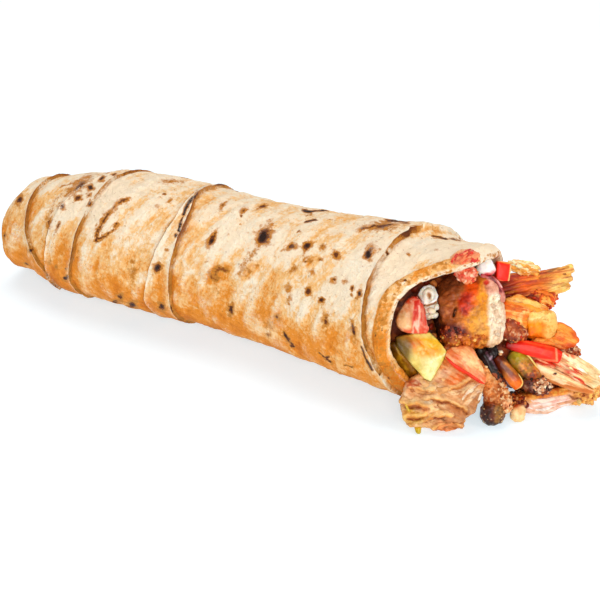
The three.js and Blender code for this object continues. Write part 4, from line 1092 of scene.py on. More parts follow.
def cucumber_wedge():
    def relief(s):
        return 0.2 * s.rough(6, 2, 111) + 0.14 * s.fibres(-55, 6, 1.4, 112) + 0.06 * s.rough(1.4, 2, 113)

    def look(s):
        streak = s.fibres(-55, 8, 1.6, 114)
        seeds = fade(s.rough(1.6, 2, 115), 0.15, 0.45)
        return s.painted("#efe09a", [
            (s.blob(431, 366, 9, 16, 14) * 0.9, "#f4eec4"), (s.blob(424, 348, 17, 9, -10), "#efb436"),
            (s.blob(408, 341, 11, 6, -10) * 0.9, "#e8964a"), (s.blob(433, 343, 9, 5, -15) * 0.9, "#efc840"),
            # the dark olive left side and its darker patches are painted shade
            (s.left_of(401, 417) + 0.25 * streak, "#a88d44"),
            (s.blob(400, 360, 9, 24, -18) * 0.9, "#63521f"), (s.blob(396, 345, 5, 10) * 0.8, "#3e2e10"),
            (s.blob(418, 370, 6, 14, -30) * 0.45, "#c9b25e"),
            (s.line([(446, 353), (441, 364), (432, 383)], 1.6) * 0.7, "#d2c66a"),
            (s.line([(430, 362), (438, 358), (445, 354)], 1.0) * 0.4, "#fffbe8"),
            (fade(streak, 0.15, 0.6) * 0.35, "#d4bf62"),
            (seeds * s.blob(428, 360, 16, 18) * 0.35, "#fbf3cc"),
        ], 0.1)

    filling("cucumber_wedge", "cooked cucumber", relief, look, ragged=0.35, swell=0.1)


def pink_wedge():
    def relief(s):
        groove = s.right_of(409, 414) * fade(s.fibres(82, 10, 1.2, 122), -0.1, 0.5)
        return 0.2 * s.rough(5, 2, 121) + 0.5 * groove + 0.06 * s.rough(1.3, 2, 124)

    def look(s):
        strands = s.fibres(82, 9, 1.3, 123)
        return s.painted("#dba97c", [
            (s.blob(405, 323, 7, 8), "#e9c79e"), (s.blob(401, 310, 5, 9, 12) * 0.7, "#c8a478"),
            (s.blob(405, 305, 9, 7) * 0.7, "#dba07c"), (s.blob(411, 299, 8, 5, 20), "#c46040"),
            (s.right_of(410, 416) * 0.85, "#e58670"),
            (s.right_of(409, 415) * fade(strands, -0.05, 0.3) * 0.9, "#f7cdb8"),
            (s.right_of(410, 415) * fade(strands, -0.1, -0.35) * 0.9, "#cf4c3a"),
            (s.right_of(420, 425) * 0.7, "#d95a40"), (s.below(326, 332) * 0.8, "#e0724a"),
            (s.line([(412, 333), (415, 322), (418, 332)], 1.0) * 0.8, "#fbd9c4"),
            (s.line([(418, 330), (420, 318), (419, 306)], 0.9) * 0.7, "#fbe0d0"),
            (s.blob(396, 318, 3, 12) * 0.6, "#c48c5c"),
            (fade(s.rough(1.5, 2, 125), 0.1, 0.4) * 0.25, "#fdf0dc"),
        ], 0.1)

    filling("pink_wedge", "pink flesh", relief, look, ragged=0.45, swell=0.1)


def tomato_slice():
    skin = [(446, 357), (455, 365.5), (466, 373), (476, 379), (486, 384)]

    def look(s):
        flesh = s.fibres(-38, 6, 1.1, 131)
        return s.painted("#edb184", [
            (s.blob(474, 362, 12, 14), "#f6d2a4"), (s.blob(458, 348, 16, 8, -20) * 0.9, "#dd9458"),
            (s.below(344, 337) * 0.8, "#b06634"), (s.line(skin, 6.5) * 0.6, "#ec935e"),
            (s.blob(466, 352, 8, 4, -20) * 0.5, "#f9deb4"), (fade(flesh, 0.0, 0.35) * 0.5, "#fae0ba"),
            (fade(flesh, -0.05, -0.4) * 0.5, "#d98c58"),
            (fade(s.rough(1.4, 2, 135), 0.15, 0.45) * 0.4, "#e0814a"),
        ], 0.14)

    def extra(s):
        return laid_set(s, [(skin, [1.0, 2.0, 2.3, 2.1, 0.9], 1.0, "#ee5c30")], 134, 0.35, 0.06)

    filling("tomato_slice", "tomato flesh",
            lambda s: 0.25 * s.rough(5, 2, 132) + 0.2 * s.fibres(-38, 6, 1.1, 133), look, fineness=0.34,
            ragged=0.35, extra=extra, swell=0.15)


def fold_rims(s, folds, width, up):
    """1 along each fold, or along its rim, which lies a little way up from it."""
    lines = [s.line([(x - 0.5 * up, y - up) for x, y in fold], width) for fold in folds]
    return s.front * np.max(lines, axis=0)


def fold_layers(s, folds, patches, rim, slope):
    """The colours of folds: a pale rim, a toasted slope and a dark foot, the foot being painted shade in the
    fold's groove.
    """
    return [
        (fold_rims(s, folds, 1.8, 3.2) * 0.7, rim), (fold_rims(s, folds, 1.0, 1.6) * 0.6, slope),
        (fold_rims(s, folds, 1.1, 0) * (0.45 + 0.5 * fade(patches, -0.2, 0.3)), "#94592c"),
    ]


def roast_slice():
    folds = [
        [(420, 405), (432, 401), (446, 402), (458, 407), (468, 413)],
        [(412, 390), (424, 394), (436, 392)],
        [(452, 392), (462, 388), (472, 381)],
    ]

    def relief(s):
        ridged = s.blob(473, 395, 14, 14, -30)
        fibres = 0.22 * s.fibres(-32, 7, 1.1, 142) + 0.45 * ridged * s.fibres(48, 8, 1.0, 146)
        creased = 0.8 * fold_rims(s, folds, 2.4, 3.6) - 1.1 * fold_rims(s, folds, 1.3, 0)
        return 0.6 * s.rough(7, 3, 141) + fibres + 0.3 * s.rough(1.8, 3, 143) + creased

    def look(s):
        along = s.fibres(-32, 7, 1.0, 142)
        ridges = s.fibres(48, 8, 0.9, 146)
        ridged = s.blob(473, 395, 13, 14, -30)
        patches = s.rough(3.4, 3, 144)
        return s.painted("#e6ba8e", [
            (s.blob(457, 368, 20, 16, -30), "#df9d60"), (s.blob(459, 380, 12, 9), "#e68e44"),
            (s.blob(460, 345, 22, 8, -10), "#ab6638"), (s.blob(428, 388, 12, 10) * 0.8, "#dac6a8"),
            (s.blob(446, 398, 20, 8, 8) * 0.8, "#ecc8a0"), (s.blob(414, 384, 10, 5, 10) * 0.9, "#b25a2c"),
            (s.blob(444, 373, 5, 4) * 0.8, "#ac5426"), (s.blob(440, 380, 4, 3) * 0.7, "#b8693a"),
            (ridged * 0.9, "#cda57c"), (ridged * fade(ridges, 0.0, 0.3) * 0.9, "#efd3b2"),
            (ridged * fade(ridges, -0.05, -0.35) * 0.7, "#b08a68"),
            ((1 - ridged) * fade(along, 0.05, 0.4) * 0.4, "#fae3c2"),
            ((1 - ridged) * fade(along, -0.05, -0.4) * 0.35, "#c48c5c"),
            (fade(patches, 0.15, 0.5) * 0.4, "#fbe8cc"), (fade(patches, -0.15, -0.5) * 0.3, "#c98c58"),
            (s.below(402, 410) * 0.5, "#a06a3a"), (s.blob(436, 350, 14, 9, -20) * 0.7, "#c07a48"),
        ] + fold_layers(s, folds, patches, "#f5d6a4", "#dfa458"), 0.18)

    def extra(s):
        return laid_set(s, [
            ([(419, 378), (427, 386), (436, 384), (446, 378)], [0.8, 3.6, 3.0, 0.8], 0.6, "#ecc79a"),
            ([(412, 386), (424, 393), (440, 392), (452, 386)], [0.8, 3.4, 3.8, 1.0], 0.7, "#e2b888"),
            ([(448, 392), (458, 391), (468, 386), (478, 381)], [0.8, 3.0, 2.6, 0.6], 0.6, "#f0d3ae"),
            ([(462, 400), (468, 393), (474, 387), (480, 384)], [0.6, 1.5, 1.5, 0.6], 0.7, "#f3dfcb"),
            ([(468, 404), (474, 397), (480, 391), (483, 387)], [0.6, 1.5, 1.4, 0.5], 0.7, "#e2c6ae"),
            ([(474, 405), (479, 399), (483, 393)], [0.5, 1.3, 0.5], 0.6, "#f7e8d6"),
        ], 145, 0.6, 0.3)

    filling("roast_slice", "roast slice", relief, look, fineness=0.42, ragged=0.8, extra=extra)


def flaky_folds():
    folds = [
        [(402, 404), (409, 408), (418, 407), (427, 410)],
        [(424, 424), (436, 418), (450, 418), (466, 424)],
        [(408, 418), (418, 420), (428, 417)],
        [(436, 430), (448, 427), (462, 429)],
    ]

    def relief(s):
        return (0.7 * s.rough(4, 3, 151) + 0.3 * s.fibres(8, 7, 1.2, 152) + 0.25 * s.rough(1.6, 2, 153)
                - 1.1 * fold_rims(s, folds, 1.3, 0) + 0.8 * fold_rims(s, folds, 2.4, 3.6))

    def look(s):
        along = s.fibres(8, 7, 1.1, 152)
        patches = s.rough(2.6, 3, 154)
        return s.painted("#eccaa2", [
            (s.blob(448, 404, 14, 5, -8), "#f5dcb8"), (s.blob(449, 426, 14, 7, 8), "#e4a678"),
            (s.blob(410, 414, 7, 12) * 0.9, "#d6b050"), (s.blob(418, 418, 6, 7) * 0.7, "#bfa440"),
            (s.blob(427, 402, 6, 6) * 0.8, "#cdbfa8"), (s.blob(408, 387, 8, 5) * 0.9, "#ae5a30"),
            (fade(patches, 0.1, 0.5) * 0.5, "#fbe6c8"), (fade(patches, -0.1, -0.5) * 0.4, "#cc9458"),
            (fade(along, 0.05, 0.4) * 0.5, "#fbe2b4"), (fade(along, -0.08, -0.4) * 0.4, "#bd8458"),
        ] + fold_layers(s, folds, patches, "#f3cf90", "#dda050"), 0.18)

    def extra(s):
        return laid_set(s, [
            ([(424, 402), (434, 397), (448, 396), (463, 401)], [0.6, 2.0, 2.2, 0.6], 0.7, "#f7dcb4"),
            ([(431, 417), (442, 412), (455, 412), (465, 415)], [0.6, 2.2, 2.2, 0.6], 0.8, "#f0cc9c"),
            ([(436, 429), (448, 425), (460, 426)], [0.6, 2.0, 0.6], 0.8, "#dfa470"),
            ([(405, 404), (409, 411), (414, 420)], [0.4, 1.2, 0.4], 0.7, "#d9c060"),
        ], 155, 0.45, 0.3)

    filling("flaky_folds", "roast slice", relief, look, ragged=0.8, extra=extra)


def red_pepper_strip():
    def look(s):
        return s.painted("#ef4c1c", [
            (s.blob(542, 350, 14, 5, -12) * 0.4, "#f05a30"),
            (fade(s.rough(2.0, 2, 163), 0.0, 0.5) * 0.3, "#fb8458"), (s.left_of(513, 526), "#d63a1e"),
            (s.left_of(508, 516), "#8a2012"),
            (s.line([(522, 341), (540, 345), (557, 348)], 0.9) * 0.6, "#f88a4c"),
            (s.line([(556, 348), (557, 361)], 1.0) * 0.9, "#fbb894"),
            (s.line([(530, 357), (545, 360), (557, 361)], 1.0) * 0.8, "#f9a07a"),
        ], 0.05)

    filling("red_pepper_strip", "red pepper", lambda s: 0.12 * s.rough(5, 2, 161), look,
            fineness=0.3, melt=1, ragged=0.12, swell=0.1)


def red_pepper_cube():
    def look(s):
        return s.painted("#ee4410", [
            (s.blob(505, 270, 5, 9) * 0.4, "#f0521c"),
            (s.line([(496, 260), (505, 262), (515, 264)], 1.2), "#f9b060"),
            (s.line([(511.5, 264), (510.5, 274), (508.5, 284)], 1.2), "#fbd7a4"),
            (s.line([(498, 280), (504, 282), (509, 284)], 0.8) * 0.7, "#fbb78c"),
            (s.left_of(496, 499), "#d84418"),
        ], 0.06)

    filling("red_pepper_cube", "red pepper", lambda s: 0.06 * s.rough(4, 2, 162), look,
            fineness=0.26, melt=1, ragged=0.08, swell=0.05)


def green_pepper_piece():
    rim = [(513, 350), (521, 351), (528, 356), (533, 362), (537, 368)]

    def look(s):
        return s.painted("#a0801f", [
            (s.blob(519, 357, 7, 5, -20), "#ab9722"), (s.blob(516, 354, 4, 3) * 0.5, "#cfc45c"),
            # the dark olive left edge is painted shadow
            (s.left_of(507, 514), "#504c20"), (s.blob(530, 370, 9, 9), "#c6843c"),
            (s.blob(534, 376, 6, 6) * 0.9, "#a2582a"), (s.blob(524, 364, 5, 4) * 0.6, "#d0a04c"),
            (s.blob(528, 370, 10, 10) * fade(s.rough(1.3, 2, 174), 0.0, 0.3) * 0.8, "#e0a85c"),
            (s.blob(528, 372, 10, 10) * fade(s.rough(1.3, 2, 174), -0.1, -0.35) * 0.8, "#6e3c18"),
            (s.below(368, 378) * s.left_of(524, 530) * 0.8, "#3c2c10"),
            (fade(s.rough(1.6, 2, 171), 0.1, 0.4) * 0.45, "#7a7414"),
        ], 0.15)

    def extra(s):
        return laid_set(s, [(rim, [0.4, 0.8, 0.8, 0.7, 0.4], 0.6, "#f5e0a0")], 173, 0.3, 0.1)

    filling("green_pepper_piece", "green pepper", lambda s: 0.35 * s.rough(3.5, 3, 172), look,
            fineness=0.3, ragged=0.3, extra=extra)


def carrot_strip():
    rim = [(519, 373), (524, 381), (521, 387), (515, 391)]

    def look(s):
        return s.painted("#ef8c30", [
            # the browner upper part is painted shadow cast by the aubergine strips
            (s.below(385, 375), "#99581f"), (s.below(380, 368) * 0.9, "#6b3e14"),
            (s.below(368, 358) * 0.9, "#4c3012"),
            (fade(s.fibres(-50, 6, 0.8, 184), 0.0, 0.4) * 0.4, "#f6b870"),
            (s.blob(517, 387, 5, 6, -30) * 0.8, "#f49a3c"),
            (s.line([(500, 360), (508, 365), (516, 374)], 1.3) * 0.5, "#e0a45c"),
            # the dark left edge is painted shadow of the aubergine strips
            (s.left_of(501, 506), "#62300e"),
        ], 0.1)

    def extra(s):
        return laid_set(s, [(rim, [0.4, 0.8, 0.8, 0.4], 0.5, "#fcd696")], 183, 0.3, 0.06)

    filling("carrot_strip", "carrot", lambda s: 0.16 * s.rough(3, 2, 182), look, fineness=0.28,
            melt=1, ragged=0.2, extra=extra, swell=0.15)


def aubergine_strips():
    def look(s):
        crumbly = fade(s.rough(1.4, 2, 191), 0.1, 0.35)
        return s.painted("#110704", [
            (s.blob(490, 357, 6, 9, -40) * 0.7, "#2a1218"),
            # the pale line and spot along the skin are painted highlight
            (s.line([(486, 352), (491, 358), (497, 368)], 1.2) * 0.7, "#5c4450"),
            (s.blob(491, 358, 1.3, 2.6, -35) * 0.9, "#c0aebb"), (s.below(366, 374) * crumbly, "#9a5e34"),
            # the near-black patch on the right is partly dark skin and partly painted shade in the gap
            (s.below(378, 384) * crumbly * 0.8, "#d09a70"), (s.blob(500, 350, 8, 7) * 0.8, "#0a0606"),
        ], 0.2)

    def extra(s):
        spots = [(505, 350.5), (508, 352), (506, 354.5), (509.5, 355), (503.5, 353)]
        codes = ["#f6e2c4", "#e0b890", "#fbeedb"]
        return bits_at(s, spots, 0.6, 2.0, 0.2, (1.5, 1.4), 193, codes, 194)

    filling("aubergine_strips", "aubergine skin", lambda s: 0.3 * s.rough(2.6, 3, 192), look,
            fineness=0.32, extra=extra)


def crumbed_strip():
    def relief(s):
        pores = pebbles(s.points, 1.5, 201)
        return 0.5 * s.rough(3.5, 3, 202) - 0.4 * fade(pores, 0.42, 0.1) + 0.3 * s.rough(1.3, 2, 204)

    def look(s):
        pores = pebbles(s.points, 1.5, 201)
        grains = s.rough(1.1, 2, 203)
        right = s.right_of(494, 502)
        return s.painted("#e3a871", [
            (s.blob(490, 376, 8, 16, -35) * 0.9, "#eebc84"), (s.blob(487, 392, 7, 10) * 0.8, "#e09a58"),
            (s.blob(500, 392, 7, 12) * 0.6, "#c08450"), (s.blob(507, 408, 4, 10) * 0.8, "#f0c09a"),
            (s.blob(488, 403, 6, 7) * 0.8, "#b8703a"),
            (fade(pores, 0.4, 0.1) * (0.3 + 0.5 * right), "#6e3a1a"),
            (fade(grains, 0.1, 0.4) * (0.4 + 0.4 * right), "#fde6c4"),
            (fade(grains, -0.15, -0.45) * 0.5, "#9a5a2c"),
        ], 0.2)

    def extra(s):
        crumbly = (s.front + 0.1) * (0.15 + s.right_of(494, 502))
        codes = ["#eebc88", "#d99a62", "#f7dcb8", "#b87a44", "#8f522a"]
        return crumbs(s, crumbly, 60, (0.5, 1.4), 205, 0.5, codes, 206)

    filling("crumbed_strip", "crumb coating", relief, look, fineness=0.34, extra=extra)


def mushroom_end():
    def look(s):
        grains = s.rough(0.8, 1, 211)
        return s.painted("#6a3c1a", [
            (s.blob(499, 411, 5, 9), "#a07a3c"), (s.blob(486, 411, 5, 10) * 0.8, "#34190c"),
            (s.below(416, 424) * 0.9, "#32200e"), (s.blob(493, 402, 8, 4) * 0.8, "#a5653a"),
            (fade(grains, 0.48, 0.58) * 0.85, "#f0d8b4"), (fade(grains, -0.2, -0.5) * 0.6, "#1c0d06"),
            # the olive spot at the lower right is a painted highlight
            (s.blob(497, 420, 3, 3) * 0.6, "#a8864a"),
        ], 0.25)

    filling("mushroom_end", "mushroom",
            lambda s: 0.6 * s.rough(3, 3, 212) + 0.2 * s.rough(1.2, 2, 213), look, fineness=0.32)


def crusted_slice():
    def meat(s):
        return s.fibres(10, 6, 1.0, 228)

    def relief(s):
        crumble = np.clip(s.right_of(570, 580) + s.left_of(514, 526), 0, 1)
        lumps = pebbles(s.points, 1.9, 221)
        return (0.4 * s.rough(5, 3, 222) + 0.3 * meat(s) + 0.2 * s.rough(1.5, 2, 229)
                + crumble * (fade(lumps, 0.6, 0.1) + 0.5 * s.rough(2.2, 3, 223)))

    def look(s):
        lumps = pebbles(s.points, 1.9, 221)
        crust = [(514, 394), (528, 394), (545, 391), (560, 388), (572, 386)]
        t = meat(s)
        grains = s.rough(1.5, 2, 226)
        return s.painted("#f4d8c4", [
            (s.blob(552, 404, 24, 8, 8), "#fbe9e2"), (s.blob(558, 400, 10, 3, 10) * 0.7, "#e6b4a8"),
            (s.blob(546, 410, 16, 4, 8) * 0.5, "#e9b896"), (fade(t, -0.05, -0.4) * 0.45, "#d6a080"),
            (fade(t, 0.05, 0.4) * 0.45, "#fff6ee"), (s.line(crust, 7.5, 0.4), "#eeaa58"),
            (s.line(crust, 7.0, 0.4) * fade(grains, 0.0, 0.3), "#f7c878"),
            (s.line(crust, 5.5, 0.4) * fade(grains, -0.1, -0.4) * 0.7, "#b86a30"),
            (s.right_of(566, 575), "#eebd7c"),
            (s.right_of(569, 577) * fade(lumps, 0.45, 0.8) * 0.7, "#96582a"),
            (s.right_of(569, 577) * fade(grains, 0.1, 0.35) * 0.9, "#f9d88c"),
            (s.blob(575, 398, 9, 1.4, -18) * 0.8, "#6e3a1c"), (s.left_of(512, 524), "#84300f"),
            (s.left_of(518, 528) * fade(grains, 0.05, 0.35), "#d98a4c"),
            (s.left_of(518, 528) * fade(grains, -0.1, -0.4), "#4a180a"),
            (s.below(398, 404) * s.left_of(520, 534) * 0.6, "#a0481a"),
        ], 0.16)

    def extra(s):
        tip = s.plain_mask(588, 394, 15, 9)
        left = s.front * s.plain_mask(519, 404, 9, 9)
        blades = laid_set(s, [
            ([(520, 399), (536, 401), (552, 399), (566, 395)], [0.6, 1.6, 1.8, 0.6], 0.7, "#f6ddd0"),
            ([(526, 407), (542, 409), (556, 406)], [0.6, 1.7, 0.6], 0.7, "#fbeee8"),
            ([(556, 404), (568, 402), (580, 399)], [0.6, 1.5, 0.6], 0.7, "#e8bca0"),
            ([(530, 412), (544, 413), (557, 410)], [0.5, 1.4, 0.5], 0.6, "#f3d3bf"),
        ], 243, 0.5, 0.25)
        pale = ["#f2c484", "#fbe2a8", "#dba468", "#b5743c", "#f7d296"]
        brown = ["#96441e", "#cf7e40", "#6e2e16", "#eeb480"]
        return together(
            crumbs(s, tip, 70, (0.7, 2.0), 241, 0.4, pale, 244),
            crumbs(s, left, 50, (0.7, 1.7), 242, 0.4, brown, 245),
            blades,
        )

    filling("crusted_slice", "roast slice", relief, look, fineness=0.38, ragged=0.7, extra=extra)


def small_pale_block():
    def look(s):
        return s.painted("#f6dfb8", [
            (s.blob(514, 404, 8, 4), "#b8602c"), (s.blob(520, 411, 3, 4) * 0.6, "#e0a878"),
            (fade(s.rough(1.4, 2, 232), 0.1, 0.4) * 0.5, "#e9bc84"), (s.below(417, 422) * 0.5, "#e8c898"),
        ], 0.14)

    filling("small_pale_block", "cream", lambda s: 0.35 * s.rough(2.6, 3, 231), look, fineness=0.3)


def long_pale_strip():
    def relief(s):
        return 0.25 * s.rough(4, 2, 246) + 0.5 * s.fibres(-22, 8, 1.0, 247)

    def look(s):
        streak = s.fibres(-22, 9, 1.0, 248)
        return s.painted("#f2cfa4", [
            (s.line([(540, 366), (552, 372), (570, 379), (586, 386)], 1.8) * 0.9, "#fff0c8"),
            (s.line([(538, 378), (552, 383), (572, 388), (590, 392)], 2.0), "#c4833a"),
            (s.blob(534, 372, 5, 7) * 0.8, "#d99a60"), (s.blob(541, 366, 6, 3) * 0.5, "#f0b080"),
            (s.right_of(578, 588) * 0.7, "#e09a44"),
            (s.front * s.blob(555, 374, 2.2, 1.3, 20, 0.3), "#3d1a10"),
            (fade(streak, 0.1, 0.4) * 0.5, "#cf9464"), (fade(streak, -0.1, -0.4) * 0.5, "#fff2dc"),
            (s.blob(560, 377, 14, 4, -20) * fade(streak, 0.0, 0.3) * 0.6, "#e89a78"),
        ], 0.1)

    filling("long_pale_strip", "pale strip", relief, look, fineness=0.3, ragged=0.25)


def fibres_between(place, start, end, count, width, seed, bow=0.5, steps=14):
    """Strands that run from one box to another in a piece's frame, each with its own shade."""
    rng = np.random.default_rng(seed)
    start, end = np.array(start, float), np.array(end, float)
    parts, shades = [], []
    for k in range(count):
        share = (k + rng.random()) / count
        mix = np.array([rng.random(), share, rng.random()])
        a = start[0] + (start[1] - start[0]) * mix
        end_mix = np.array([rng.random(), np.clip(share + rng.normal(0, 0.08), 0, 1), mix[2]])
        b = end[0] + (end[1] - end[0]) * end_mix
        middle = (a + b) / 2 + rng.normal(0, bow, 3)
        third = a * 0.25 + b * 0.75 + rng.normal(0, bow * 0.7, 3)
        size = rng.uniform(*width)
        path, out = place([a, middle, third, b]), place([[0, 0, 1]])[0] - place([[0, 0, 0]])[0]
        widths = [size * 1.1, size, size * 0.8, size * 0.35]
        points, faces = tube(path, widths, size * rng.uniform(0.45, 0.75), out, 7, steps, seed + k, 0.16)
        parts.append((points, faces))
        shades.append(np.full(len(points), rng.uniform(0.72, 1.22)))
    return parts, np.concatenate(shades)


def coloured_by(look, parts, shade, ragged=0.3):
    """Colours for added strands from the piece's own look, made lighter or darker by shade."""
    points, _ = gathered(parts)
    surface = Surface(points, np.tile(BACK, (len(points), 1)), ragged)
    return np.clip(look(surface) * shade[:, None], 0, 1)


def pulled_bundle():
    place = standing([40, 20.6, 49.2], [32, 20], 7)

    def look(s):
        streak = s.fibres(10, 10, 1.0, 251)
        return s.painted("#f08c30", [
            (s.right_of(526, 548) * 0.8, "#f6b666"), (s.right_of(542, 558), "#f9dc9a"),
            (s.blob(552, 276, 14, 5, 14) * 0.6, "#f2a254"), (s.blob(560, 288, 9, 4) * 0.7, "#fde6a8"),
            (s.left_of(510, 528), "#a84c16"), (s.left_of(502, 522) * s.below(279, 286), "#54220e"),
            (s.below(290, 296) * s.left_of(522, 540), "#6e3014"),
            (s.blob(532, 294, 12, 3) * 0.8, "#c98c58"),
            (s.line([(514, 276), (524, 273), (532, 275)], 1.4) * 0.6, "#7a3510"),
            (s.line([(516, 283), (528, 282), (536, 281)], 1.2) * 0.6, "#8e3c10"),
            (s.line([(536, 275), (552, 271), (569, 266.5)], 1.1, 0.5) * 0.8, "#80552a"),
            (s.front * s.blob(564, 274, 1.6, 1.0, 0, 0.3), "#4a2a10"),
            (fade(streak, 0.08, 0.35) * 0.55, "#fcc462"), (fade(streak, -0.08, -0.35) * 0.55, "#a84a0c"),
        ], 0.16)

    def extra(s):
        sets = []
        # the deeper strand sets are painted darker, as painted shade
        for start, end, count, width, seed, depth_shade in (
            ([(-20, -4.6, -3.2), (-8, 0.8, -1.2)], [(4, -3.6, -2.6), (14.5, 4.6, -0.8)],
             40, (0.8, 1.9), 252, 1.0),
            ([(-20, -5, -8), (-10, -1, -4)], [(4, -4.4, -8), (13, 2.4, -3)], 20, (1.2, 2.4), 253, 0.85),
            ([(-18, 2.4, -6), (-10, 3.8, -3.6)], [(2, 1.6, -5), (9.5, 4.2, -2.4)], 12, (0.9, 1.8), 255, 0.95),
        ):
            strands, shade = fibres_between(place, start, end, count, width, seed)
            sets.append((strands, coloured_by(look, strands, shade * depth_shade)))
        return together(*sets)

    filling("pulled_bundle", "pulled fibres", lambda s: 0.45 * s.fibres(10, 8, 1.1, 254), look,
            extra=extra)


def yellow_rag():
    def look(s):
        streak = s.fibres(-20, 6, 0.9, 261)
        return s.painted("#f6cf78", [
            (s.blob(520, 262, 18, 4, -14), "#fdf0cc"), (s.right_of(526, 534) * 0.8, "#f9dfa4"),
            # the dark hole is painted shade
            (s.front * s.blob(515, 267, 3.6, 2.6), "#46261a"), (s.below(269, 273) * 0.8, "#e6a860"),
            (fade(streak, 0.0, 0.3) * 0.7, "#fff6dc"), (fade(streak, -0.05, -0.35) * 0.5, "#dfa050"),
        ], 0.12)

    def relief(s):
        return 0.8 * s.rough(2.6, 3, 262) + 0.5 * s.fibres(-20, 6, 0.9, 263) - 0.5 * s.below(262, 257)

    def extra(s):
        rng = np.random.default_rng(264)
        rows = []
        for _ in range(22):
            x = rng.uniform(512, 537)
            y = 264 + 0.28 * (x - 512) + rng.uniform(-3, 4)
            long = rng.uniform(3, 7)
            line = [(x - long, y - 0.35 * long), (x, y + rng.uniform(-1, 1)), (x + long, y + 0.3 * long)]
            code = ["#fbe6b4", "#f7d080", "#fdf2d4", "#eab468"][rng.integers(4)]
            rows.append((line, [0.3, rng.uniform(0.7, 1.5), 0.3], 0.5, code))
        return laid_set(s, rows, 265, 0.3, 0.35)

    filling("yellow_rag", "yellow flesh", relief, look, fineness=0.32, melt=1, ragged=0.8,
            extra=extra, swell=-0.35)


def crisp_mass():
    def look(s):
        net = s.rough(1.5, 2, 271)
        return s.painted("#e0802a", [
            (s.blob(548, 299, 6, 5) * 0.9, "#f5b85c"), (fade(net, 0.0, 0.25) * 0.8, "#fbc878"),
            (fade(net, -0.05, -0.3) * 0.7, "#a8440e"), (s.blob(532, 296, 8, 3, -8) * 0.9, "#5c2a18"),
            (s.below(303, 309) * 0.5, "#d0703a"),
        ], 0.2)

    def relief(s):
        holes = pebbles(s.points, 2.2, 273)
        return 0.9 * s.rough(2.6, 3, 274) - 0.9 * fade(holes, 0.4, 0.1)

    def extra(s):
        codes = ["#e8883a", "#f4ac58", "#f9cc8a", "#b8521a", "#d87428"]
        rows = [
            ([(530, 293), (538, 291), (547, 294), (555, 299)], [0.5, 1.5, 1.6, 0.4], 0.9, "#f0a04a"),
            ([(534, 297), (543, 296), (551, 299), (556, 304)], [0.5, 1.6, 1.4, 0.4], 0.9, "#e07a24"),
            ([(536, 303), (544, 301), (552, 305)], [0.5, 1.4, 0.4], 0.8, "#f9c880"),
            ([(529, 297), (535, 299), (541, 304)], [0.4, 1.2, 0.4], 0.7, "#8a3a14"),
        ]
        return together(
            crumbs(s, s.front + 0.15, 50, (0.6, 1.8), 275, 0.45, codes, 276),
            laid_set(s, rows, 277, 0.35, 0.45),
        )

    filling("crisp_mass", "crisp crust", relief, look, fineness=0.34, melt=1, ragged=0.9,
            extra=extra)


def pointed_slice():
    def look(s):
        streak = s.fibres(-14, 8, 1.1, 281)
        blotch = s.rough(3.0, 3, 284)
        return s.painted("#f3b050", [
            (s.blob(530, 304, 16, 4, -14), "#fbd48c"),
            (s.line([(505, 304), (520, 309), (536, 312)], 2.2) * 0.8, "#e07c20"),
            (s.line([(514, 300), (522, 304), (532, 306)], 1.2) * 0.8, "#b0560f"),
            (s.right_of(540, 550) * 0.6, "#ec963a"), (s.blob(510, 316, 11, 10), "#f4a654"),
            (s.blob(509, 316, 10, 9) * fade(blotch, 0.0, 0.3), "#fbcc84"),
            (s.blob(509, 324, 9, 4) * 0.8, "#dc743a"),
            (s.line([(524, 311), (520, 318), (522, 327)], 2.0), "#fde2a8"),
            (s.left_of(502, 507), "#9a4c1c"), (s.below(326, 332) * 0.8, "#8a3412"),
            (fade(streak, 0.08, 0.35) * 0.55, "#fff0bc"), (fade(streak, -0.1, -0.4) * 0.5, "#d4781e"),
        ], 0.14)

    def relief(s):
        return 0.35 * s.rough(5, 3, 282) + 0.55 * s.fibres(-14, 9, 1.1, 283) + 0.2 * s.rough(1.6, 2, 285)

    def extra(s):
        return laid_set(s, [
            ([(514, 299), (524, 301), (536, 305), (548, 309)], [0.5, 2.0, 2.2, 0.4], 0.7, "#fbd692"),
            ([(512, 303), (524, 306), (536, 309), (550, 312)], [0.5, 1.8, 2.0, 0.4], 0.7, "#f5b658"),
            ([(508, 307), (520, 310), (532, 312)], [0.5, 1.6, 0.5], 0.7, "#e9933a"),
            ([(526, 301), (538, 302), (553, 308)], [0.4, 1.6, 0.3], 0.6, "#fde4b0"),
        ], 286, 0.4, 0.3)

    filling("pointed_slice", "yellow flesh", relief, look, ragged=0.7, extra=extra)


def yellow_chunk():
    def look(s):
        pale = s.below(326, 318)
        side = s.right_of(541, 548)
        return s.painted("#f4a01a", [
            (s.blob(534, 328, 9, 6), "#fbb830"), (s.below(330, 336) * 0.8, "#f09a30"), (pale, "#f8dc98"),
            (side * 0.8, "#f6d898"), (s.line([(524, 317), (534, 319), (545, 317)], 1.2) * 0.6, "#fdf0c4"),
            (s.blob(531, 331, 6, 4, 20) * 0.6, "#e88a1c"), (s.blob(543, 316, 9, 5) * 0.7, "#fdeab0"),
            (s.left_of(524, 528), "#d98420"),
            (fade(s.rough(1.1, 2, 291), 0.1, 0.35) * np.maximum(pale, side) * 0.6, "#cf9a3c"),
        ], 0.1)

    def relief(s):
        return 0.6 * s.rough(4.5, 3, 292) + 0.2 * s.rough(1.3, 2, 293)

    filling("yellow_chunk", "yellow flesh", relief, look, melt=4)


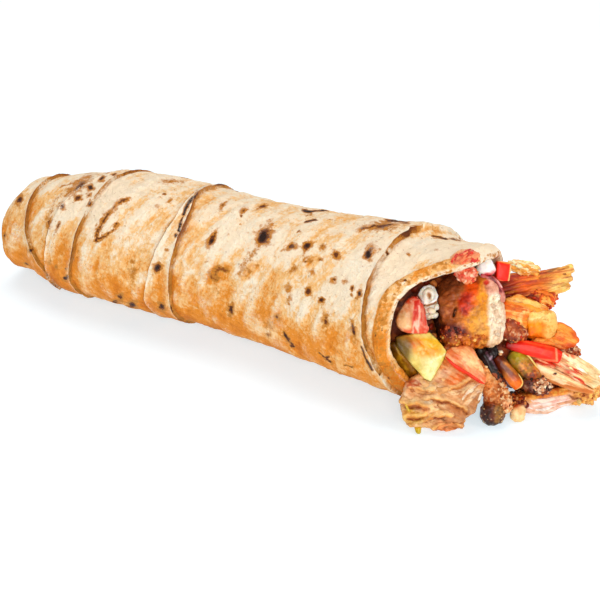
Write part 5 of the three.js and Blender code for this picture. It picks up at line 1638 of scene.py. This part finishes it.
def orange_wedge():
    def look(s):
        streak = s.fibres(-25, 6, 1.2, 301)
        return s.painted("#f3ac58", [
            (s.blob(556, 328, 14, 5, -14) * 0.9, "#f8c070"),
            (s.line([(534, 335), (545, 329), (550, 331), (562, 337)], 3.0) * 0.8, "#e27228"),
            (s.line([(532, 340), (548, 340), (562, 343)], 1.4) * 0.9, "#f9c070"),
            (s.below(342, 346) * 0.8, "#c45c18"), (s.right_of(568, 576) * 0.5, "#e2822a"),
            (fade(streak, 0.1, 0.4) * 0.5, "#fdd68c"), (fade(streak, -0.1, -0.4) * 0.5, "#cf6410"),
        ], 0.14)

    def relief(s):
        return 0.45 * s.rough(4, 3, 302) + 0.4 * s.fibres(-25, 6, 1.2, 303)

    def extra(s):
        return laid_set(s, [
            ([(532, 338), (546, 337), (562, 341)], [0.5, 1.6, 0.5], 0.7, "#f5b45c"),
            ([(534, 342), (548, 343), (560, 345)], [0.5, 1.4, 0.5], 0.7, "#eea056"),
            ([(540, 333), (549, 328), (560, 330), (570, 336)], [0.5, 1.8, 1.8, 0.4], 0.7, "#f6b662"),
        ], 304, 0.4, 0.3)

    filling("orange_wedge", "yellow flesh", relief, look, extra=extra)


def cream_dollop():
    def look(s):
        return s.painted("#fffefc", [
            (s.blob(494, 275, 5, 5), "#f5b3b2"), (s.blob(487, 276, 5, 3.5) * 0.95, "#c23440"),
            (s.blob(490, 279, 6, 3) * 0.8, "#7a1824"), (s.blob(477, 264, 3, 6) * 0.5, "#f9e0c4"),
        ], 0.03)

    filling("cream_dollop", "sour cream", lambda s: 0.45 * s.rough(3.6, 3, 311), look, fineness=0.3,
            melt=4, ragged=0.3)


def onion_sliver():
    def look(s):
        return s.painted("#c98a84", [
            (s.line([(487, 274), (494, 280), (501, 292)], 1.3), "#6e1c26"),
            (s.line([(491, 272), (499, 280), (504, 292)], 1.0) * 0.9, "#8f3640"),
            (s.line([(496, 277), (502, 287)], 0.7), "#f3d0c8"), (s.below(290, 298) * 0.8, "#e8b8a4"),
            (s.below(279, 273) * 0.7, "#a8303a"),
        ], 0.1)

    filling("onion_sliver", "onion skin", lambda s: 0.15 * s.rough(2.5, 2, 321), look,
            fineness=0.28, ragged=0.2, swell=-0.1)


def pink_sauce_lobe():
    def look(s):
        grains = s.rough(1.3, 3, 331)
        return s.painted("#e89880", [
            (s.blob(457, 270, 6, 5) * 0.8, "#d8743e"), (s.blob(464, 272, 14, 6) * 0.5, "#ee8c6a"),
            (fade(grains, 0.02, 0.3) * 0.7, "#f9cdb8"), (fade(grains, -0.05, -0.35) * 0.6, "#d06454"),
            (s.blob(479, 280, 5, 5) * 0.8, "#f9d8b8"), (s.below(276, 283) * 0.6, "#e8a468"),
        ], 0.12)

    def extra(s):
        rng = np.random.default_rng(333)
        rows = []
        for _ in range(34):
            x, y = rng.uniform(453, 484), rng.uniform(265, 286)
            long, lean = rng.uniform(2, 5), math.radians(rng.uniform(-70, 60))
            dx, dy = long / 2 * math.cos(lean), long / 2 * math.sin(lean)
            code = ["#f3b49c", "#eb9478", "#dc7058", "#f9d0b8", "#e8a878"][rng.integers(5)]
            line = [(x - dx, y + dy), (x, y + 0.6), (x + dx, y - dy)]
            rows.append((line, [0.4, rng.uniform(0.6, 1.4), 0.3], 0.7, code))
        return laid_set(s, rows, 334, 0.35, 0.35)

    filling("pink_sauce_lobe", "pink sauce", lambda s: 0.6 * s.rough(2.4, 3, 335), look,
            fineness=0.3, ragged=1.0, extra=extra)


def pink_shreds():
    def look(s):
        streak = s.fibres(35, 5, 0.9, 341)
        inner = s.blob(465, 257, 13, 5.5, 12, 0.5) * (0.35 + 0.65 * fade(streak, -0.3, 0.15))
        return s.painted("#f0cba4", [
            (inner, "#e07a5c"), (s.blob(459, 262, 9, 4, 20) * inner, "#ea7a48"),
            (s.blob(468, 252, 9, 3) * inner * 0.6, "#df8a76"), (fade(streak, 0.0, 0.3) * 0.8, "#f6bc90"),
            (inner * fade(streak, -0.05, -0.35) * 0.7, "#c84a40"),
        ], 0.14)

    def extra(s):
        rng = np.random.default_rng(342)
        rows = []
        for k in range(30):
            along = (k + rng.random()) / 30
            across = 450 + 29 * along
            down = 264 - 11 * math.sin(math.pi * along) + rng.normal(0, 1.6)
            long, lean = rng.uniform(3.5, 8), rng.uniform(15, 70)
            dx, dy = long / 2 * math.cos(math.radians(lean)), long / 2 * math.sin(math.radians(lean))
            code = ["#dc6450", "#ea9470", "#cc4e42", "#f2b08a", "#e27a5c"][rng.integers(5)]
            line = [(across - dx, down + dy), (across + rng.normal(0, 0.8), down), (across + dx, down - dy)]
            rows.append((line, [0.4, rng.uniform(0.7, 1.3), 0.3], 0.5, code))
        return laid_set(s, rows, 343, 0.1, 0.3)

    filling("pink_shreds", "pink sauce", lambda s: 0.55 * s.rough(1.8, 3, 344), look,
            fineness=0.3, melt=1, ragged=0.9, extra=extra, swell=-0.35)


def white_crumbs():
    def dented(s):
        hole = s.blob(429, 295.5, 2.0, 3.2, 20, 0.4)
        crease = s.line([(421, 306), (428, 305), (436, 302)], 1.1)
        return s.front * np.maximum(hole, crease)

    def look(s):
        return s.painted("#fffcf4", [
            (s.blob(430, 287, 7, 4) * 0.5, "#faecd4"), (s.right_of(434, 438) * 0.4, "#f2dcc0"),
            # the brown in the dented hole and crease is painted shade
            (fade(s.rough(1.6, 2, 351), 0.2, 0.6) * 0.3, "#f8ead8"), (dented(s) * 0.9, "#a8763f"),
        ], 0.06)

    def extra(s):
        curl = laid_set(s, [
            ([(425, 303), (421, 296), (424, 289), (431, 287.5), (436, 293), (434, 300), (429, 303)],
             [1.0, 1.9, 1.4, 2.3, 1.7, 2.1, 0.9], 1.3, "#fffcf4"),
            ([(423, 309), (427, 312), (426, 316)], [1.0, 1.7, 0.8], 1.2, "#fbf0dd"),
        ], 354, 0.3, 0.28)
        spots = [(431, 310), (434, 314), (430, 318), (433, 321), (427, 321), (436, 307)]
        bits = bits_at(s, spots, 0.5, 3.6, 0.3, (3.0, 2.6), 356, ["#fffaf0", "#fbf0dc"], 357)
        return together(curl, bits)

    filling("white_crumbs", "crumbled white cheese",
            lambda s: 0.6 * s.rough(3.4, 2, 352) + 0.12 * s.rough(1.3, 2, 353) - 1.3 * dented(s), look,
            fineness=0.32, melt=3, extra=extra)


def soaked_inner_fold():
    def look(s):
        return s.painted("#94701c", [
            (s.blob(401, 358, 5, 14, -20) * 0.7, "#b8932c"), (s.blob(394, 345, 4, 12) * 0.8, "#4a330e"),
            (s.line([(396, 343), (402, 362), (410, 378)], 1.2) * 0.6, "#cfae48"),
            (fade(s.rough(2.0, 2, 361), 0.1, 0.4) * 0.5, "#7a5c14"), (s.below(372, 380) * 0.8, "#9a4a1e"),
        ], 0.15)

    filling("soaked_inner_fold", "soaked fold", lambda s: 0.35 * s.rough(3, 3, 362), look,
            fineness=0.34)


def green_shred():
    def look(s):
        return s.painted("#d8b83a", [
            (s.line([(420, 417), (422, 425), (424, 433)], 1.0), "#f3dc84"),
            (s.below(426, 432) * 0.6, "#b0a83a"),
        ], 0.1)

    filling("green_shred", "green pepper", lambda s: 0.12 * s.rough(2, 2, 371), look, fineness=0.25,
            melt=1, ragged=0.2)


def sauced_look(s):
    grains = s.rough(1.6, 4, 381)
    return s.painted("#b05c28", [
        (fade(grains, 0.0, 0.3) * 0.8, "#dc9458"), (fade(grains, 0.34, 0.5) * 0.8, "#f9d8bc"),
        (fade(grains, -0.08, -0.35) * 0.8, "#6e3018"),
    ], 0.2)


def crumb_mass_left():
    def look(s):
        colours = sauced_look(s)
        colours = tinted(colours, np.full(len(s.points), 0.3), "#8a4a2c")
        colours = tinted(colours, s.blob(508, 328, 9, 5) * 0.6, "#bf5c28")
        return tinted(colours, s.below(336, 343) * 0.8, "#3a150c")

    def extra(s):
        codes = ["#b86030", "#d88c54", "#f5d4b0", "#96481f", "#e6ac7c", "#c85c30"]
        return crumbs(s, s.front + 0.1, 70, (0.4, 1.5), 384, 0.6, codes, 385)

    filling("crumb_mass_left", "sauced crumbs", lambda s: 0.9 * s.rough(2.0, 4, 386), look,
            fineness=0.34, ragged=0.8, extra=extra)


def crumb_mass_right():
    def look(s):
        colours = sauced_look(s)
        return tinted(colours, 0.4 + 0.3 * s.left_of(556, 566), "#8a4a2c")

    def extra(s):
        codes = ["#9c4e28", "#bc7040", "#ecc8a4", "#7c3a1c", "#d89e70", "#f3d8b8"]
        return crumbs(s, s.front + 0.2, 80, (0.4, 1.6), 391, 0.5, codes, 392)

    filling("crumb_mass_right", "sauced crumbs", lambda s: 0.9 * s.rough(2.2, 3, 393), look,
            fineness=0.34, ragged=0.8, extra=extra)


def minced_cluster():
    def look(s):
        colours = tinted(sauced_look(s), 0.7 + 0 * s.across, "#2a160c")
        return tinted(colours, s.blob(542, 387, 9, 6) * fade(s.rough(1.2, 2, 401), 0.0, 0.3), "#f6cdb0")

    def extra(s):
        right = s.front * s.plain_mask(543, 386, 9, 7)
        pale = ["#f9dabc", "#eec09c", "#dca07c", "#fbe8d0", "#b07850"]
        dark = ["#33180c", "#5c2e1a", "#200f08", "#8a4c30"]
        return together(
            crumbs(s, right + 0.01 * s.front, 60, (0.6, 1.9), 402, 0.35, pale, 404),
            crumbs(s, s.front + 0.1, 50, (0.5, 1.5), 403, 0.45, dark, 405),
        )

    filling("minced_cluster", "sauced crumbs", lambda s: 0.8 * s.rough(2.0, 3, 406), look,
            fineness=0.32, ragged=0.8, extra=extra)


def soaked_shreds():
    place = standing([51.6, 3.6, 21.6], FRONT, 0)

    def look(s):
        streak = s.fibres(-24, 6, 1.0, 411)
        return s.painted("#d45a30", [
            (s.line([(532, 360), (545, 370), (560, 376)], 3.0) * 0.6, "#9a2a14"),
            (fade(streak, 0.0, 0.3) * 0.9, "#f9c8a0"), (s.blob(552, 369, 8, 3, -20) * 0.6, "#fbdcb8"),
            (s.blob(560, 373, 5, 3) * 0.7, "#e8401a"),
        ], 0.16)

    def extra(s):
        start, end = [(-7.5, -2, -4.4), (-5, 3.6, -1.4)], [(3, -5.4, -4), (7, -1.6, -1.4)]
        parts, shade = fibres_between(place, start, end, 20, (0.7, 1.5), 412, 0.5, 10)
        return parts, coloured_by(look, parts, shade)

    filling("soaked_shreds", "sauced strips", lambda s: 0.45 * s.fibres(-24, 6, 1.0, 413), look,
            fineness=0.3, extra=extra)


def cream_strip_fan():
    place = standing([62.4, 10.4, 21.6], FRONT, 0)

    def look(s):
        streak = s.fibres(-36, 8, 1.0, 421)
        red = fade(s.rough(2.6, 3, 422), -0.05, 0.25)
        return s.painted("#f3d8b0", [
            (s.line([(558, 350), (572, 359), (590, 371)], 2.0) * 0.9, "#fff2cc"),
            (s.blob(566, 362, 8, 12, -30) * red, "#e47a54"),
            (s.blob(556, 364, 10, 7, -20) * 0.7, "#eeb090"), (s.blob(572, 371, 9, 6) * red, "#e0573a"),
            (s.line([(562, 374), (572, 380), (580, 382)], 1.8) * 0.9, "#dd4e28"),
            (s.blob(585, 378, 7, 5) * 0.6, "#fbdfa4"), (s.right_of(588, 597) * 0.6, "#f9ecc8"),
            (fade(streak, 0.08, 0.35) * 0.5, "#fffae0"), (fade(streak, -0.1, -0.4) * 0.55, "#d99c70"),
        ], 0.1)

    def extra(s):
        start, end = [(-10, -0.6, -2.4), (-8, 6.2, -1.0)], [(7.6, -8.4, -2.2), (10.4, -2.2, -0.6)]
        upper, shade = fibres_between(place, start, end, 22, (0.8, 1.9), 423, 0.35, 12)
        start, end = [(-9, -2, -4.4), (-6, 3, -2.6)], [(3.6, -9, -4.4), (9, -4, -2.6)]
        lower, lower_shade = fibres_between(place, start, end, 14, (0.9, 1.9), 424, 0.4, 12)
        rng = np.random.default_rng(426)
        rows = []
        for k in range(46):
            x, red = rng.uniform(550, 586), k % 2
            y = 354 + 0.72 * (x - 556) + (rng.uniform(2, 12) if red else rng.uniform(-6, 4))
            long = rng.uniform(4, 9)
            line = [(x - long, y - 0.62 * long), (x, y + rng.uniform(-0.8, 0.8)), (x + long, y + 0.66 * long)]
            code = (["#e0603c", "#ee9470", "#f6c4a0"] if red else ["#fff0d0", "#f9e2b8", "#fdf6e4"])[k % 3]
            rows.append((line, [0.3, rng.uniform(0.6, 1.2), 0.3], 0.5, code))
        # the lower, deeper strands are painted darker than the upper ones, as painted shade
        return together((upper, coloured_by(look, upper, 0.45 * shade + 0.6)),
                        (lower, coloured_by(look, lower, lower_shade * 0.9)),
                        laid_set(s, rows, 427, 0.2, 0.3))

    filling("cream_strip_fan", "pale strip", lambda s: 0.45 * s.fibres(-36, 8, 1.0, 425), look,
            fineness=0.3, extra=extra)


def far_side():
    """The pieces on the far side of the mouth; they look like the ones in front."""
    def roast(s):
        return s.painted("#e6b07a", [
            (fade(s.rough(6, 3, 431), 0.0, 0.6) * 0.8, "#f2cfa0"),
            (fade(s.rough(5, 3, 432), 0.1, 0.7) * 0.8, "#c4702e"),
            (fade(s.layers(60, 2.4, 1.4, 433), 0.25, 0.0) * 0.7, "#8d5326"),
        ])

    def green(s):
        return s.painted("#c9ad2a", [
            (fade(s.rough(5, 3, 434), 0.0, 0.6) * 0.7, "#eeda80"),
            (fade(s.rough(4, 2, 435), 0.1, 0.7) * 0.7, "#958a1e"),
        ], 0.1)

    def seared(s):
        return s.painted("#d08f40", [
            (fade(s.rough(6, 3, 436), -0.1, 0.5) * 0.8, "#eebb70"),
            (fade(s.rough(5, 3, 437), 0.1, 0.6) * 0.9, "#8a4a20"),
            (fade(s.rough(2.4, 3, 438), 0.3, 0.7) * 0.9, "#34180c"),
        ])

    filling("far_roast_slice", "roast slice",
            lambda s: 0.5 * s.rough(6, 3, 441) + 0.4 * s.layers(60, 2.4, 1.4, 433)
            + 0.25 * s.rough(1.6, 2, 442), roast, fineness=0.5, melt=3)
    filling("far_green_wedge", "green pepper", lambda s: 0.35 * s.rough(5, 3, 443), green,
            fineness=0.42)
    filling("far_seared_piece", "seared chunk",
            lambda s: 0.7 * s.rough(5, 3, 444) + 0.3 * s.rough(1.7, 2, 445), seared, fineness=0.45, melt=3)


def filling_core():
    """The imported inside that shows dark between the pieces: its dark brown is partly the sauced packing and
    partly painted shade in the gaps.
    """
    def look(s):
        return s.painted("#6a3a1c", [
            (fade(s.rough(4, 3, 451), 0.0, 0.5) * 0.7, "#9a5420"),
            (fade(s.rough(2.2, 3, 452), 0.1, 0.6) * 0.8, "#260f06"),
            (fade(s.rough(1.8, 2, 453), 0.35, 0.6) * 0.6, "#cf8a50"),
        ])

    def extra(s):
        mouth = fade(s.points[:, 0], -8, 6)
        codes = ["#6a3214", "#9a5420", "#461c0a", "#b8703a", "#cf945a", "#7a3416"]
        return crumbs(s, mouth + 1e-4, 420, (1.0, 3.4), 454, 0.35, codes, 455)

    filling("filling_core", "packed filling and gap shade", lambda s: 0.8 * s.rough(3.5, 3, 456), look,
            fineness=1.5, extra=extra, swell=0)


PIECES = [
    seared_chunk, cucumber_wedge, pink_wedge, tomato_slice, roast_slice, flaky_folds, red_pepper_strip,
    red_pepper_cube, green_pepper_piece, carrot_strip, aubergine_strips, crumbed_strip, mushroom_end,
    crusted_slice, small_pale_block, long_pale_strip, pulled_bundle, yellow_rag, crisp_mass, pointed_slice,
    yellow_chunk, orange_wedge, cream_dollop, onion_sliver, pink_sauce_lobe, pink_shreds, white_crumbs,
    soaked_inner_fold, green_shred, crumb_mass_left, crumb_mass_right, minced_cluster, soaked_shreds,
    cream_strip_fan, far_side, filling_core,
]


# ------------------------------------------------------------------ floor, light and camera


# In metres and watts. The walls keep the horizon white from low angles.
FLOOR_HALF = 8.0
FLOOR_DROP = 0.0004
WALL_HEIGHT = 1.8
SKY = (1.0, 0.975, 0.94, 1)
SKY_STRENGTH = 0.27
WARM_WHITE = (1.0, 0.965, 0.91)
LAMPS = [
    ("key_light", (-0.3, 0.3, 1.3), 1.1, 11.5, WARM_WHITE),
    ("front_fill", (0.75, -1.1, 0.65), 0.8, 10.5, WARM_WHITE),
    ("side_sparkle", (0.95, 0.05, 0.6), 0.3, 2.2, (1.0, 0.97, 0.93)),
]
LAMPS_AIM = Vector((0.0, 0.0, 0.03))


def stage_and_light():
    floor_paint = Paint("white floor", Roughness=0.9, Specular_IOR_Level=0.1)
    away = floor_paint.node("VectorMath", {"operation": "LENGTH"}, {0: floor_paint.place()}, out=1)
    # The floor and walls glow: painted light, dim bluish grey near the wrap and white further out, that
    # lightens and cools the shadow on the floor.
    glow = floor_paint.mix(floor_paint.between(away, 0.8, 2.0), "#bcccd3", "#f8f8f8")
    floor_paint.finish(Base_Color=(0.52, 0.52, 0.54, 1.0), Emission_Color=glow, Emission_Strength=1.0)
    mesh = bpy.data.meshes.new("floor")
    around = [(x * FLOOR_HALF, y * FLOOR_HALF) for x, y in ((-1, -1), (1, -1), (1, 1), (-1, 1))]
    corners = [(x, y, z) for z in (-FLOOR_DROP, WALL_HEIGHT) for x, y in around]
    walls = [(k, (k + 1) % 4, (k + 1) % 4 + 4, k + 4) for k in range(4)]
    mesh.from_pydata(corners, [], [(0, 1, 2, 3)] + walls)
    mesh.materials.append(floor_paint.material)
    floor = bpy.data.objects.new("floor", mesh)
    bpy.context.scene.collection.objects.link(floor)

    world = bpy.data.worlds.new("studio")
    world.use_nodes = True
    background = world.node_tree.nodes["Background"]
    background.inputs["Color"].default_value = SKY
    background.inputs["Strength"].default_value = SKY_STRENGTH
    bpy.context.scene.world = world

    for name, place, side, power, colour in LAMPS:
        lamp = bpy.data.lights.new(name, "AREA")
        lamp.size = side
        lamp.energy = power
        lamp.color = colour
        obj = bpy.data.objects.new(name, lamp)
        obj.location = place
        obj.rotation_euler = (LAMPS_AIM - Vector(place)).to_track_quat("-Z", "Y").to_euler()
        bpy.context.scene.collection.objects.link(obj)
    bpy.context.scene.view_settings.view_transform = "Standard"


def camera():
    data = bpy.data.cameras.new("camera")
    data.sensor_width = 36.0
    data.lens = FOCAL / PICTURE * data.sensor_width
    obj = bpy.data.objects.new("camera", data)
    place = Vector(metres(CAMERA))
    obj.location = place
    obj.rotation_euler = (Vector(metres(LOOK_AT)) - place).to_track_quat("-Z", "Y").to_euler()
    bpy.context.scene.collection.objects.link(obj)
    bpy.context.scene.camera = obj


camera()
stage_and_light()
bread()
for make in PIECES:
    make()
